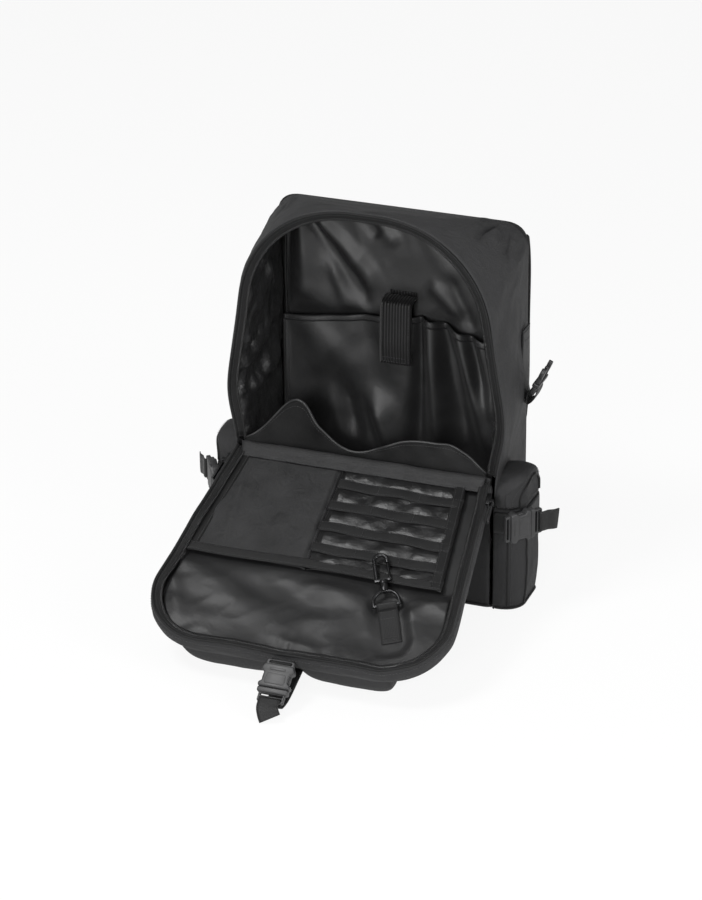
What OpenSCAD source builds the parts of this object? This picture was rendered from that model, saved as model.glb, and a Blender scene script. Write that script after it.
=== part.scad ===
// Trauma backpack standing open: the front panel is unzipped and folded forward on its pockets.
// Millimetres, +Z up, the wearer's back towards +Y, the opening towards -Y.

/* [Body] */
// Width of the lower body at the front
lower_w = 300; // [270:1:330]
// Width of the mouth where it bulges most
mouth_w = 326; // [306:1:350]
// Width of the mouth where the top arch starts
crown_w = 292; // [262:1:310]
// Height of the crown of the mouth
crown_h = 450; // [425:1:500]
// Radius of the arch of the mouth
mouth_r = 126; // [90:1:130]
// Width of the back
back_w = 292; // [260:1:310]
// Height of the back
back_h = 411; // [390:1:440]
// Radius of the upper corners of the back
back_r = 27; // [15:1:50]
// Depth from the mouth to the back board
body_d = 121; // [100:1:150]
// Thickness of the lined body fabric
wall_t = 4; // [3:0.5:6]
// Thickness of the back board
board_t = 8; // [5:1:12]
// Thickness of the base board
base_t = 5; // [4:0.5:8]

/* [Front panel] */
// Height of the hinge seam above the floor
hinge_z = 160; // [150:1:180]
// Length of the front panel from the hinge to its free end
panel_l = 276; // [250:1:300]
// Width of the front panel at the hinge
panel_w = 296; // [270:1:297]
// Width of the front panel at its free end
panel_end_w = 342; // [310:1:360]
// Corner radius at the free end
panel_r = 72; // [50:1:90]
// Depth of the panel from its rim to its outer face
panel_d = 18; // [16:0.5:24]
// Slope of the folded panel, degrees below level
panel_slope = 24; // [18:1:28]

/* [Panel pockets] */
// Length of the two inner pockets
inner_pocket_l = 142; // [120:1:160]
// Place of the seam between the two inner pockets
divider_x = -18; // [-40:1:20]
// Number of elastic rows on the organizer
row_count = 4; // [3:1:5]
// Width of one elastic row
row_w = 14; // [10:1:18]
// Half width of the lower outer pocket
outer_pocket_hw = 130; // [110:1:140]

/* [Sleeve] */
// Height of the sleeve mouth at its middle
sleeve_h = 284; // [240:1:300]
// Depth of the slot behind the sleeve
sleeve_gap = 13; // [8:1:18]
// Width of the strap over the sleeve
sleeve_strap_w = 38; // [25:1:50]
// Length of the strap below its fold
sleeve_strap_l = 74; // [50:1:90]

/* [Side pouches] */
// Depth of a pouch from front to back
pouch_d = 70; // [60:1:80]
// How far a pouch stands out from the body
pouch_out = 32; // [28:1:40]
// Height of the seam under the lid
pouch_h = 127; // [110:1:130]
// Height of the top of the lid
lid_top = 162; // [156:1:166]
// Thickness of the pouch fabric
pouch_t = 2.5; // [2:0.5:4]

/* [Webbing and buckles] */
// Width of the strap webbing
web_w = 25; // [20:1:30]
// Thickness of the webbing
web_t = 2; // [1.5:0.1:2.5]
// Thickness of a buckle
buckle_t = 10; // [9:0.5:12]
// Length of the socket half of a buckle
socket_l = 26; // [24:1:32]

/* [Shoulder straps] */
// Width of a padded shoulder strap
pad_w = 60; // [50:1:70]
// Thickness of the strap padding
pad_t = 14; // [10:1:18]
// How far the strap bows away from the back
pad_bow = 22; // [12:1:30]

/* [Hidden] */
$fn = 32;

gap = 0.3;                       // clearance between soft pieces
board_fit = 0.05;                // clearance of the boards between the side walls
arc_n = 9;                       // points along one corner arc
front_y = -body_d / 2;           // plane of the mouth
back_y = front_y + body_d;       // front face of the back board
hinge_y = front_y - 5.5;         // axis of the front panel
bulge_z = hinge_z + 60;          // height of the widest part of the mouth
zip_t = 2;                       // thickness of a zip tape
zip_w = 6;                       // width of a zip tape
black = [0.09, 0.09, 0.095];
dark = [0.05, 0.05, 0.055];
lining_grey = [0.2, 0.2, 0.21];
plastic = [0.26, 0.26, 0.27];

// ---------- outlines ----------
function arc(cx, cz, r, a0, a1, n) = [
    for (i = [0:n]) let (a = a0 + (a1 - a0) * i / n) [cx + r * cos(a), cz + r * sin(a)]];
function mirrored(p) = concat(p, [for (i = [len(p) - 1:-1:0]) [-p[i][0], p[i][1]]]);
function mouth_half(i) = concat(
    [[-lower_w / 2 + i, 0], [-lower_w / 2 + i, hinge_z], [-mouth_w / 2 + i, bulge_z]],
    arc(-crown_w / 2 + mouth_r, crown_h - mouth_r, mouth_r - i, 180, 92, arc_n));
function back_half(i) = concat(
    [[-back_w / 2 + i, 0], [-back_w / 2 + i, hinge_z], [-back_w / 2 + i, bulge_z]],
    arc(-back_w / 2 + back_r, back_h - back_r, back_r - i, 180, 92, arc_n));

// Sweep of four-cornered sections: sections[k] holds station k as outer front, inner front, inner back, outer back.
// The first two and the last two sides are split on opposite diagonals, so that the wall keeps its thickness.
module sweep4(sections) {
    n = len(sections);
    points = [for (s = sections) for (p = s) p];
    sides = [for (k = [0:n - 2]) for (j = [0:3]) let (a = 4 * k + j, b = 4 * k + (j + 1) % 4)
        each j < 2 ? [[a, b, b + 4], [a, b + 4, a + 4]] : [[a, b, a + 4], [b, b + 4, a + 4]]];
    ends = [[0, 2, 1], [0, 3, 2], [4 * n - 4, 4 * n - 3, 4 * n - 2], [4 * n - 4, 4 * n - 2, 4 * n - 1]];
    polyhedron(points, concat(sides, ends));
}

outer_front = mirrored(mouth_half(0));
inner_front = mirrored(mouth_half(wall_t));
outer_back = mirrored(back_half(0));
inner_back = mirrored(back_half(wall_t));
stations = len(outer_front);
arch_start = 3;

module body_wall(k0, k1)
    sweep4([for (k = [k0:k1]) [
        [outer_front[k][0], front_y, outer_front[k][1]],
        [inner_front[k][0], front_y, inner_front[k][1]],
        [inner_back[k][0], back_y, inner_back[k][1]],
        [outer_back[k][0], back_y, outer_back[k][1]]]]);

// Extrude a shape drawn in X and Z from y0 to y1
module along_y(y0, y1) translate([0, y1, 0]) rotate([90, 0, 0]) linear_extrude(y1 - y0) children();
// Extrude a shape drawn in Y and Z from x0 to x1
module along_x(x0, x1) translate([x0, 0, 0]) rotate([90, 0, 90]) linear_extrude(x1 - x0) children();

// ---------- body ----------
module side_wall_left() color(black) body_wall(0, arch_start);
module side_wall_right() color(black) mirror([1, 0, 0]) body_wall(0, arch_start);
module top_wall() color(black) body_wall(arch_start, stations - 1 - arch_start);
module back_board() color(dark) along_y(back_y, back_y + board_t) polygon(outer_back);

// Half width between the side walls' inner faces at depth y, below the hinge
function inner_hw(y) = lower_w / 2 - wall_t - board_fit - (lower_w - back_w) / 2 * (y - front_y) / body_d;

module base_board() color(dark) linear_extrude(base_t) polygon([
    [-inner_hw(front_y), front_y], [inner_hw(front_y), front_y],
    [inner_hw(back_y), back_y], [-inner_hw(back_y), back_y]]);

module lower_front_wall() color(black)
    translate([0, 0, base_t]) linear_extrude(hinge_z - base_t) polygon([
        [-inner_hw(front_y), front_y], [inner_hw(front_y), front_y],
        [inner_hw(front_y + wall_t), front_y + wall_t], [-inner_hw(front_y + wall_t), front_y + wall_t]]);

// Slack fabric that stands up in two waves behind the hinge
lip_hw = lower_w / 2 - wall_t - 2;
lip_wave = [
    [-1, 4], [-0.8, 32], [-0.56, 56], [-0.4, 46], [-0.16, 18],
    [0.12, 24], [0.38, 36], [0.62, 48], [0.86, 44], [1, 12]];
module front_lip() color(black) along_y(front_y + 0.5, front_y + 3)
    polygon(concat([[lip_hw, hinge_z], [-lip_hw, hinge_z]], [for (p = lip_wave) [p[0] * lip_hw, hinge_z + p[1]]]));

module mouth_zip() color(dark) {
    outer = [for (p = mirrored(mouth_half(0))) if (p[1] >= hinge_z) p];
    inner = [for (p = mirrored(mouth_half(zip_w))) if (p[1] >= hinge_z) p];
    sweep4([for (k = [0:len(outer) - 1]) [
        [outer[k][0], front_y - zip_t, outer[k][1]],
        [inner[k][0], front_y - zip_t, inner[k][1]],
        [inner[k][0], front_y, inner[k][1]],
        [outer[k][0], front_y, outer[k][1]]]]);
}

lining_t = 3;
lining_y = back_y - lining_t;
lining_i = wall_t + 3;
module back_lining() color(lining_grey) along_y(lining_y, back_y)
    polygon([for (p = mirrored(back_half(lining_i))) [p[0], max(p[1], base_t)]]);

piping_r = 2;
piping_x = inner_hw(lining_y) - piping_r - gap;
module corner_piping() color(dark) for (s = [-1, 1])
    translate([s * piping_x, lining_y - piping_r, base_t]) cylinder(r = piping_r, h = back_h - back_r - base_t - 8);

sleeve_hw = piping_x - piping_r - gap;
sleeve_y = lining_y - sleeve_gap;
sleeve_t = 4;
sleeve_drop = 13;
module sleeve_pocket() color(lining_grey) {
    along_y(sleeve_y - sleeve_t, sleeve_y) polygon([
        [-sleeve_hw, base_t], [sleeve_hw, base_t], [sleeve_hw, sleeve_h - sleeve_drop],
        [sleeve_hw * 0.3, sleeve_h], [-sleeve_hw * 0.4, sleeve_h - 2], [-sleeve_hw, sleeve_h - sleeve_drop]]);
    for (s = [-1, 1]) translate([s * (sleeve_hw - sleeve_t / 2), sleeve_y + sleeve_gap / 2, base_t + 120])
        cube([sleeve_t, sleeve_gap, 240], center = true);
}

// Round tape that the front panel turns on
tape_r = 3;
module hinge_tape() color(dark) {
    translate([-panel_w / 2 + 4, hinge_y, hinge_z]) rotate([0, 90, 0]) cylinder(r = tape_r, h = panel_w - 8);
    translate([-panel_w / 2 + 4, hinge_y, hinge_z - 1.5]) cube([panel_w - 8, front_y - hinge_y, 3]);
}

// ---------- strap over the sleeve ----------
strap_x = 3;
strap_t = 3;
strap_fold_z = sleeve_h + 26;
strap_axis_y = lining_y - 3;
strap_front_y = sleeve_y - sleeve_t - 1;
module sleeve_strap() color(dark) {
    translate([strap_x - sleeve_strap_w / 2, strap_front_y - strap_t, strap_fold_z - strap_t / 2])
        cube([sleeve_strap_w, strap_axis_y - strap_front_y + strap_t, strap_t]);
    translate([strap_x - sleeve_strap_w / 2, strap_front_y - strap_t, strap_fold_z - sleeve_strap_l])
        cube([sleeve_strap_w, strap_t, sleeve_strap_l]);
    translate([strap_x - sleeve_strap_w / 2, strap_axis_y, strap_fold_z]) rotate([0, 90, 0])
        cylinder(r = strap_t / 2, h = sleeve_strap_w);
}
module sleeve_strap_patch() color(dark)
    translate([strap_x - sleeve_strap_w / 2 - 3, lining_y - 1.2, strap_fold_z - 14])
        cube([sleeve_strap_w + 6, 1.2, 28]);

// ---------- front panel ----------
module on_panel() translate([0, hinge_y, hinge_z]) rotate([panel_slope, 0, 0]) children();
seam_clear = 1.28;               // clearance of the rim from the body at the hinge
panel_start = (panel_d * sin(panel_slope) - (front_y - hinge_y) + seam_clear) / cos(panel_slope);
rim_t = 4;
function panel_hw(u) = panel_w / 2 + (panel_end_w - panel_w) / 2 * min(1, u / (panel_l - panel_r));
function panel_half(i) = concat(
    [[-panel_hw(panel_start) + i, -panel_start - i]],
    [for (p = arc(-panel_end_w / 2 + panel_r, -panel_l + panel_r, panel_r - i, 180, 268, arc_n)) p]);
module panel_outline(i) polygon(mirrored(panel_half(i)));

module panel_rim() color(black) on_panel() translate([0, 0, -panel_d])
    linear_extrude(panel_d) difference() {
        panel_outline(0);
        panel_outline(rim_t);
    }
board_d = 3;
module panel_board() color(black) on_panel() translate([0, 0, -panel_d]) linear_extrude(board_d) panel_outline(rim_t);
cloth_t = 1.5;
floor_n = -panel_d + board_d + cloth_t;      // upper face of the panel lining
module panel_lining() color(lining_grey) on_panel() translate([0, 0, floor_n - cloth_t])
    linear_extrude(cloth_t) panel_outline(rim_t);
module panel_zip() color(dark) on_panel() linear_extrude(zip_t) difference() {
    panel_outline(0);
    panel_outline(zip_w);
}

pocket_gap = 5.2;
pocket_n = floor_n + pocket_gap;             // under face of the two inner pockets
pocket_u0 = 10;
pocket_u1 = pocket_u0 + inner_pocket_l;
pocket_left = -panel_w / 2 + 6;
pocket_right = panel_w / 2 - 22;
seam_w = 4;
// Flat pocket open towards the free end
module inner_pocket(x0, x1) on_panel() {
    translate([x0, -pocket_u1, pocket_n]) cube([x1 - x0, inner_pocket_l, cloth_t]);
    for (x = [x0, x1 - seam_w]) translate([x, -pocket_u1, floor_n]) cube([seam_w, inner_pocket_l, pocket_gap]);
    translate([x0, -pocket_u0 - seam_w, floor_n]) cube([x1 - x0, seam_w, pocket_gap]);
}
module slip_pocket() color(lining_grey) inner_pocket(pocket_left, divider_x - 0.5);
module organizer_pocket() color(lining_grey) inner_pocket(divider_x + 0.5, pocket_right);

row_t = 1.3;
pocket_top = pocket_n + cloth_t;
row_pitch = (inner_pocket_l - 22) / row_count;
row_start = 14;                  // from the hinge seam of the pocket to the first row
module elastic_rows() color(black) on_panel() for (k = [0:row_count - 1])
    translate([divider_x + 2, -pocket_u0 - row_start - row_w - k * row_pitch, pocket_top])
        cube([pocket_right - divider_x - 3, row_w, row_t]);
ribbon_w = 12;
module pocket_ribbon() color(dark) on_panel() {
    translate([pocket_left, -pocket_u1, pocket_top]) cube([pocket_right - pocket_left, ribbon_w, row_t]);
    translate([pocket_left, -pocket_u1 + ribbon_w, pocket_top]) cube([8, inner_pocket_l - ribbon_w, row_t]);
}

// Outer pockets, on which the folded panel rests: profiles in distance from the hinge and depth
function floor_depth(u) = -(hinge_z - 0.4 - u * sin(panel_slope)) / cos(panel_slope);
low_u0 = 26;
low_u1 = 204;
module profile_on_panel(x0, x1, points) on_panel() along_x(x0, x1) polygon([for (p = points) [-p[0], p[1]]]);
module lower_outer_pocket() color(black) profile_on_panel(-outer_pocket_hw, outer_pocket_hw, [
    [low_u0, -panel_d], [low_u0, -54], [44, -76], [100, -98], [150, floor_depth(150)], [172, floor_depth(172)],
    [190, floor_depth(190) + 6], [low_u1, -62], [low_u1, -panel_d]]);
module upper_outer_pocket() color(black) {
    upper_profile = [[low_u1 + 2, -panel_d], [low_u1 + 2, -58], [236, -56], [252, -42], [258, -30], [254, -panel_d]];
    lobe_x0 = front_x + web_w / 2 + 0.5;
    lobe_x1 = 118;
    profile_on_panel(lobe_x0, lobe_x1, upper_profile);
    profile_on_panel(-lobe_x1, -lobe_x0, upper_profile);
    profile_on_panel(-lobe_x0, lobe_x0, [[low_u1 + 2, -panel_d], [low_u1 + 2, -40], [240, -36], [246, -panel_d]]);
}

// ---------- key clip ----------
clip_x = 88;
clip_u = 184;
clip_n = -5.2;
clip_turn = 24;
clip_lift = 8;
bar_r = 1.9;
module on_clip() on_panel() translate([clip_x, -clip_u, clip_n]) rotate([0, 0, clip_turn])
    rotate([clip_lift, 0, 0]) children();
module key_web() color(black) on_panel() translate([clip_x, -clip_u, 0]) rotate([0, 0, clip_turn]) difference() {
    union() {
        translate([-web_w / 2 + 1, -46, floor_n]) cube([web_w - 2, 46, 2.2]);
        translate([-web_w / 2 + 1, 0, floor_n]) cube([web_w - 2, 3.8, clip_n - floor_n]);
        translate([-web_w / 2 + 1, -3.8, floor_n]) cube([web_w - 2, 3.8, clip_n - floor_n]);
        translate([-web_w / 2 + 1, 0, clip_n]) rotate([0, 90, 0]) cylinder(r = 3.8, h = web_w - 2);
    }
    translate([-web_w, 0, clip_n]) rotate([0, 90, 0]) cylinder(r = bar_r + 0.6, h = 2 * web_w);
}
ring_hw = web_w / 2 + 1.5;
ring_rise = 4;
barrel_y = ring_rise + ring_hw - 1;
barrel_l = 9;
module key_ring() color(dark) on_clip() difference() {
    union() {
        translate([-ring_hw, 0, 0]) rotate([0, 90, 0]) cylinder(r = bar_r, h = 2 * ring_hw);
        for (s = [-1, 1]) translate([s * ring_hw, 0, 0]) {
            sphere(r = bar_r);
            rotate([-90, 0, 0]) cylinder(r = bar_r, h = ring_rise);
        }
        translate([0, ring_rise, 0]) rotate_extrude(angle = 180) translate([ring_hw, 0]) circle(r = bar_r);
        translate([0, barrel_y, 0]) rotate([-90, 0, 0]) cylinder(r = 4.3, h = barrel_l);
    }
    translate([0, barrel_y + 2, 0]) rotate([-90, 0, 0]) cylinder(r = 2.5, h = barrel_l);
}
hook_y = barrel_y + barrel_l + gap;
hook_hw = 7;
hook_top = hook_y + 30;
hook_wire = 2.2;
module key_hook() color(dark) on_clip() {
    translate([0, hook_y - 6, 0]) rotate([-90, 0, 0]) cylinder(r = 2.3, h = 7);
    translate([0, hook_y, 0]) rotate([-90, 0, 0]) cylinder(r = 4.3, h = 4);
    translate([-hook_hw - hook_wire, hook_y + 3, -hook_wire]) cube([hook_hw + hook_wire + 4.6, 3.2, 2 * hook_wire]);
    translate([-hook_hw, hook_y + 5, 0]) rotate([-90, 0, 0]) cylinder(r = hook_wire, h = hook_top - hook_y - 5);
    translate([0, hook_top, 0]) rotate_extrude(angle = 180) translate([hook_hw, 0]) circle(r = hook_wire);
    translate([hook_hw, hook_top, 0]) rotate([90, 0, 0]) cylinder(r = hook_wire, h = 4);
}
gate_r = 1.5;
module key_gate() color(dark) on_clip() {
    translate([hook_hw, hook_y + 5.5, 0]) rotate([-90, 0, 0]) cylinder(r = gate_r, h = hook_top - hook_y - 10);
    translate([hook_hw, hook_y + 5.5, -gate_r]) cylinder(r = 2, h = 2 * gate_r);
}

// ---------- buckles ----------
// Socket half: its mouth is at Y = 0 and opens towards +Y, centred on X, lying on Z = 0
socket_w = web_w + 11;
socket_bar = 6;
slot_w = 2.4;
module socket() color(plastic) difference() {
    union() {
        translate([-socket_w / 2, -socket_l, 0]) cube([socket_w, socket_l, buckle_t]);
        translate([-socket_w / 2 + 3, -socket_l - socket_bar, buckle_t / 2 - 2.5]) cube([socket_w - 6, socket_bar, 5]);
    }
    translate([-socket_w / 2 + 2.5, -prong_l - 1.5, 2]) cube([socket_w - 5, socket_l, buckle_t - 4]);
    for (s = [-1, 1]) translate([s * socket_w / 2, -12, buckle_t / 2]) cube([8, 11, buckle_t - 4], center = true);
    translate([-web_w / 2, -socket_l - socket_bar + 1.8, -1]) cube([web_w, slot_w, buckle_t + 2]);
}
// Plug half: prongs reach towards -Y into the socket's mouth at Y = 0
plug_w = socket_w - 6.5;
plug_l = 16;
prong_l = 19;
module plug() color(plastic) difference() {
    union() {
        translate([-plug_w / 2 - 2.5, gap, buckle_t / 2 - 4]) cube([plug_w + 5, 6, 8]);
        translate([-plug_w / 2, 6, buckle_t / 2 - 2.5]) cube([plug_w, plug_l - 6, 5]);
        for (x = [-plug_w / 2, plug_w / 2 - 5]) translate([x, -prong_l, buckle_t / 2 - 2.5])
            cube([5, prong_l + gap + 1, 5]);
        translate([-2, -prong_l + 2, buckle_t / 2 - 2.5]) cube([4, prong_l + gap - 1, 5]);
    }
    translate([-web_w / 2, plug_l - 5, -1]) cube([web_w, slot_w, buckle_t + 2]);
}

// ---------- strap over the free end ----------
// The buckle leans out from the top of the rim: X across, local Y up along it, local Z out and up
front_x = 4;
hang_lean = 50;
hang_y = hinge_y - panel_l * cos(panel_slope) - 2.5;
hang_z = hinge_z - panel_l * sin(panel_slope) - 6.7;
mouth_y = -socket_l - socket_bar;
module on_hang() translate([front_x, hang_y, hang_z]) rotate([90 - hang_lean, 0, 0])
    translate([0, mouth_y, 0]) children();
module front_buckle_socket() on_hang() mirror([0, 1, 0]) socket();
module front_buckle_plug() on_hang() mirror([0, 1, 0]) plug();
strap_hw = web_w / 2 - 0.5;
module front_strap_tail() color(black) on_hang() translate([-strap_hw, -plug_l - 14, buckle_t / 2 + 3])
    cube([2 * strap_hw, 18, web_t]);
// The strap runs from the lower end of the buckle back under the notch between the two lobes
end_run = -mouth_y + plug_l + 0.4;
bar_n = buckle_t / 2;
end_y = hang_y - end_run * sin(hang_lean) - bar_n * cos(hang_lean);
end_z = hang_z - end_run * cos(hang_lean) + bar_n * sin(hang_lean);
module front_strap() color(black) translate([front_x - strap_hw, 0, 0]) along_x(0, 2 * strap_hw) polygon([
    [end_y + 0.2, end_z - 1.8], [end_y + 0.2, end_z - 4.8], [end_y + 7.2, end_z - 8.8], [end_y + 27.2, end_z - 7.8],
    [end_y + 55.2, end_z + 1.2], [end_y + 87.2, end_z + 12.2], [end_y + 87.2, end_z + 14.2], [end_y + 55.2, end_z + 3.2],
    [end_y + 27.2, end_z - 5.8], [end_y + 7.2, end_z - 6.8], [end_y + 3.2, end_z - 4.3], [end_y + 3.2, end_z - 3.3]]);

// ---------- zip sliders on the panel's rim ----------
run_angle = atan((panel_end_w - panel_w) / 2 / (panel_l - panel_r));
slider_u = 16;
slider_l = 15;
slider_w = 8;
slider_t = 4;
module on_run(s) on_panel() translate([s * (panel_hw(slider_u) + gap), -slider_u, -1]) mirror([s < 0 ? 1 : 0, 0, 0])
    rotate([0, 0, run_angle]) children();
pin_y = -slider_l + 5;
pin_x = slider_t + 2.2;
module slider(s) color(dark) on_run(s) {
    translate([0, -slider_l, -slider_w]) cube([slider_t, slider_l, slider_w]);
    for (z = [-slider_w, -1.4]) translate([slider_t - 0.5, pin_y - 2, z]) cube([4.4, 4, 1.4]);
    translate([pin_x, pin_y, -slider_w]) cylinder(r = 1, h = slider_w);
}
pull_l = 28;
module pull(s) color(dark) on_run(s) difference() {
    union() {
        translate([pin_x, pin_y, -slider_w + 1.8]) cylinder(r = 2, h = slider_w - 3.6);
        translate([pin_x - 1, pin_y - pull_l, -slider_w + 1.8]) cube([2, pull_l, slider_w - 3.6]);
    }
    translate([pin_x, pin_y, -slider_w]) cylinder(r = 1.25, h = slider_w);
}
module zip_slider_left() slider(-1);
module zip_slider_right() slider(1);
module zip_pull_left() pull(-1);
module zip_pull_right() pull(1);

// ---------- side pouches, drawn on the right and mirrored ----------
module side(s) mirror([s < 0 ? 1 : 0, 0, 0]) children();
pouch_in = lower_w / 2 + gap;
pouch_x = lower_w / 2 + pouch_out;
pouch_y0 = front_y - 1;
pouch_y1 = pouch_y0 + pouch_d;
pouch_front_r = 24;
pouch_back_r = 12;
module pouch_plan(i) polygon(concat(
    [[pouch_in + i, pouch_y0 + i]],
    arc(pouch_x - pouch_front_r, pouch_y0 + pouch_front_r, pouch_front_r - i, -90, 0, arc_n),
    arc(pouch_x - pouch_back_r, pouch_y1 - pouch_back_r, pouch_back_r - i, 0, 90, arc_n),
    [[pouch_in + i, pouch_y1 - i]]));
pouch_floor = 1;
module pouch() color(black) difference() {
    translate([0, 0, pouch_floor]) linear_extrude(pouch_h - pouch_floor) pouch_plan(0);
    translate([0, 0, pouch_floor + pouch_t]) linear_extrude(pouch_h) pouch_plan(pouch_t);
}
lid_r = 28;
function lid_arch(i) = concat(
    [[pouch_y0 + i, pouch_h + gap]],
    arc(pouch_y0 + lid_r, lid_top - lid_r, lid_r - i, 180, 90, arc_n),
    arc(pouch_y1 - lid_r, lid_top - lid_r, lid_r - i, 90, 0, arc_n),
    [[pouch_y1 - i, pouch_h + gap]]);
module pouch_lid() color(black) difference() {
    intersection() {
        along_x(pouch_in + 0.6, pouch_x) polygon(lid_arch(0));
        translate([0, 0, pouch_h]) linear_extrude(lid_top) pouch_plan(0);
    }
    intersection() {
        along_x(pouch_in + 0.6 + pouch_t, pouch_x - pouch_t) polygon(concat(
            [[pouch_y0 + pouch_t, pouch_h - 1]], lid_arch(pouch_t), [[pouch_y1 - pouch_t, pouch_h - 1]]));
        translate([0, 0, pouch_h - 1]) linear_extrude(lid_top) pouch_plan(pouch_t);
    }
}
module pouch_left() side(-1) pouch();
module pouch_right() side(1) pouch();
module pouch_lid_left() side(-1) pouch_lid();
module pouch_lid_right() side(1) pouch_lid();

strap_z = 96;
// Band that follows the pouch's plan, between two distances from its skin
module pouch_band(a, b) difference() {
    pouch_plan(-b);
    pouch_plan(-a);
    translate([-pouch_in, pouch_y0 - 50]) square([2 * pouch_in, 2 * pouch_d + 100]);
}
buckle_turn = 38;
corner_x = pouch_x - pouch_front_r;
corner_y = pouch_y0 + pouch_front_r;
module on_corner() translate([corner_x, corner_y, strap_z + web_w / 2]) rotate([0, 0, -buckle_turn])
    translate([pouch_front_r + web_t + gap + 0.2, 0, 0]) rotate([90, 0, 90]) rotate([0, 0, -90]) children();
module pouch_strap() color(black) translate([0, 0, strap_z]) linear_extrude(web_w) pouch_band(0.1, 0.1 + web_t);
module pouch_strap_left() side(-1) pouch_strap();
module pouch_strap_right() side(1) pouch_strap();
mouth_along = 8;
module pouch_socket() on_corner() translate([0, mouth_along, 0]) socket();
module pouch_plug() on_corner() translate([0, mouth_along, 0]) plug();
module pouch_socket_left() side(-1) pouch_socket();
module pouch_socket_right() side(1) pouch_socket();
module pouch_plug_left() side(-1) pouch_plug();
module pouch_plug_right() side(1) pouch_plug();

// ---------- upper side straps ----------
side_y = back_y - 22.5;
side_x = mouth_w / 2 - (mouth_w - back_w) / 2 * (side_y - web_w / 2 - front_y) / body_d + gap;
side_z = 216;
side_l = 84;
plug_lean = 24;
module side_web() color(black) {
    translate([side_x, side_y - web_w / 2, side_z]) cube([web_t, web_w, side_l]);
    translate([side_x, side_y - web_w / 2, side_z - 3]) cube([6.3, web_w, 3]);
}
plug_axis_x = side_x + 8;
plug_axis_z = side_z - 1.5;
plug_rise = 30;
// Loop of webbing around the plug's bar, drawn from the fold that it swings on
module plug_loop() {
    circle(r = 1.4);
    for (s = [-1, 1]) polygon([
        [0, -1.4], [s * 1.4, 0], [s * 4.3, 6], [s * 4.3, 18.5], [s * 2.8, 18.5], [s * 2.8, 6.5], [0, 1.2]]);
}
module side_plug() translate([plug_axis_x, side_y, plug_axis_z]) rotate([0, plug_lean, 0]) {
    rotate([90, 0, 90]) rotate([180, 0, 0]) translate([0, -plug_rise, -buckle_t / 2]) plug();
    color(black) along_y(-strap_hw, strap_hw) plug_loop();
}
module side_web_left() side(-1) side_web();
module side_web_right() side(1) side_web();
module side_plug_left() side(-1) side_plug();
module side_plug_right() side(1) side_plug();

// ---------- shoulder straps ----------
pad_x = back_w / 2 - 5 - pad_w / 2;
pad_top = 396;
pad_bottom = 168;
pad_axis_y = back_y + board_t + 7;
pad_chord = pad_top - pad_bottom;
pad_radius = (pad_chord * pad_chord / 4 + pad_bow * pad_bow) / (2 * pad_bow);
pad_half_angle = asin(pad_chord / 2 / pad_radius);
module bow(r, t) polygon(concat(
    arc(0, 0, r + t / 2, -pad_half_angle, pad_half_angle, 12),
    [for (p = arc(0, 0, r - t / 2, pad_half_angle, -pad_half_angle, 12)) p]));
module shoulder_pad() color(dark) translate([pad_x - pad_w / 2, 0, 0]) along_x(0, pad_w)
    translate([pad_axis_y - pad_radius + pad_bow, (pad_top + pad_bottom) / 2]) bow(pad_radius, pad_t);
lock_h = 24;
lock_z = pad_bottom - 2 - lock_h;
module ladder_lock() color(plastic) translate([pad_x, pad_axis_y + 1, lock_z + lock_h / 2]) difference() {
    cube([web_w + 9, 5, lock_h], center = true);
    for (z = [-6, 6]) translate([0, 0, z]) cube([web_w + 1, 8, 3], center = true);
}
back_skin = back_y + board_t;
module lower_web() color(black) translate([pad_x - web_w / 2, 0, 0]) along_x(0, web_w) polygon([
    [back_skin, 24], [back_skin + 2, 24], [pad_axis_y + 1, lock_z - 4], [pad_axis_y + 1, lock_z - 0.4],
    [pad_axis_y - 1, lock_z - 0.4], [pad_axis_y - 1, lock_z - 4], [back_skin, 30]]);
module shoulder_pad_left() side(-1) shoulder_pad();
module shoulder_pad_right() side(1) shoulder_pad();
module ladder_lock_left() side(-1) ladder_lock();
module ladder_lock_right() side(1) ladder_lock();
module lower_web_left() side(-1) lower_web();
module lower_web_right() side(1) lower_web();

// ---------- haul handle ----------
handle_hw = 46;
handle_z = 392;
handle_y = back_y + board_t + 5;
handle_drop = 32;
module haul_handle() color(black) translate([0, handle_y, handle_z]) {
    for (s = [-1, 1]) translate([s * handle_hw - web_w / 4, -1.5, -handle_drop]) cube([web_w / 2, 3, handle_drop]);
    for (s = [-1, 1]) translate([s * handle_hw - web_w / 4, 0, 0]) rotate([0, 90, 0]) cylinder(r = 1.5, h = web_w / 2);
    translate([-handle_hw - web_w / 4, 0, -handle_drop]) rotate([0, 90, 0])
        cylinder(r = 4.5, h = 2 * handle_hw + web_w / 2);
}
module handle_anchors() color(dark) for (s = [-1, 1])
    translate([s * handle_hw - web_w / 2, back_y + board_t, handle_z - 10]) cube([web_w, 3.2, 20]);

side_wall_left();
side_wall_right();
top_wall();
back_board();
base_board();
lower_front_wall();
front_lip();
mouth_zip();
back_lining();
corner_piping();
sleeve_pocket();
hinge_tape();
sleeve_strap();
sleeve_strap_patch();
panel_rim();
panel_board();
panel_lining();
panel_zip();
slip_pocket();
organizer_pocket();
elastic_rows();
pocket_ribbon();
lower_outer_pocket();
upper_outer_pocket();
key_web();
key_ring();
key_hook();
key_gate();
front_strap();
front_buckle_socket();
front_buckle_plug();
front_strap_tail();
zip_slider_left();
zip_slider_right();
zip_pull_left();
zip_pull_right();
pouch_left();
pouch_right();
pouch_lid_left();
pouch_lid_right();
pouch_strap_left();
pouch_strap_right();
pouch_socket_left();
pouch_socket_right();
pouch_plug_left();
pouch_plug_right();
side_web_left();
side_web_right();
side_plug_left();
side_plug_right();
shoulder_pad_left();
shoulder_pad_right();
ladder_lock_left();
ladder_lock_right();
lower_web_left();
lower_web_right();
haul_handle();
handle_anchors();
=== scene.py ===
import math

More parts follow.
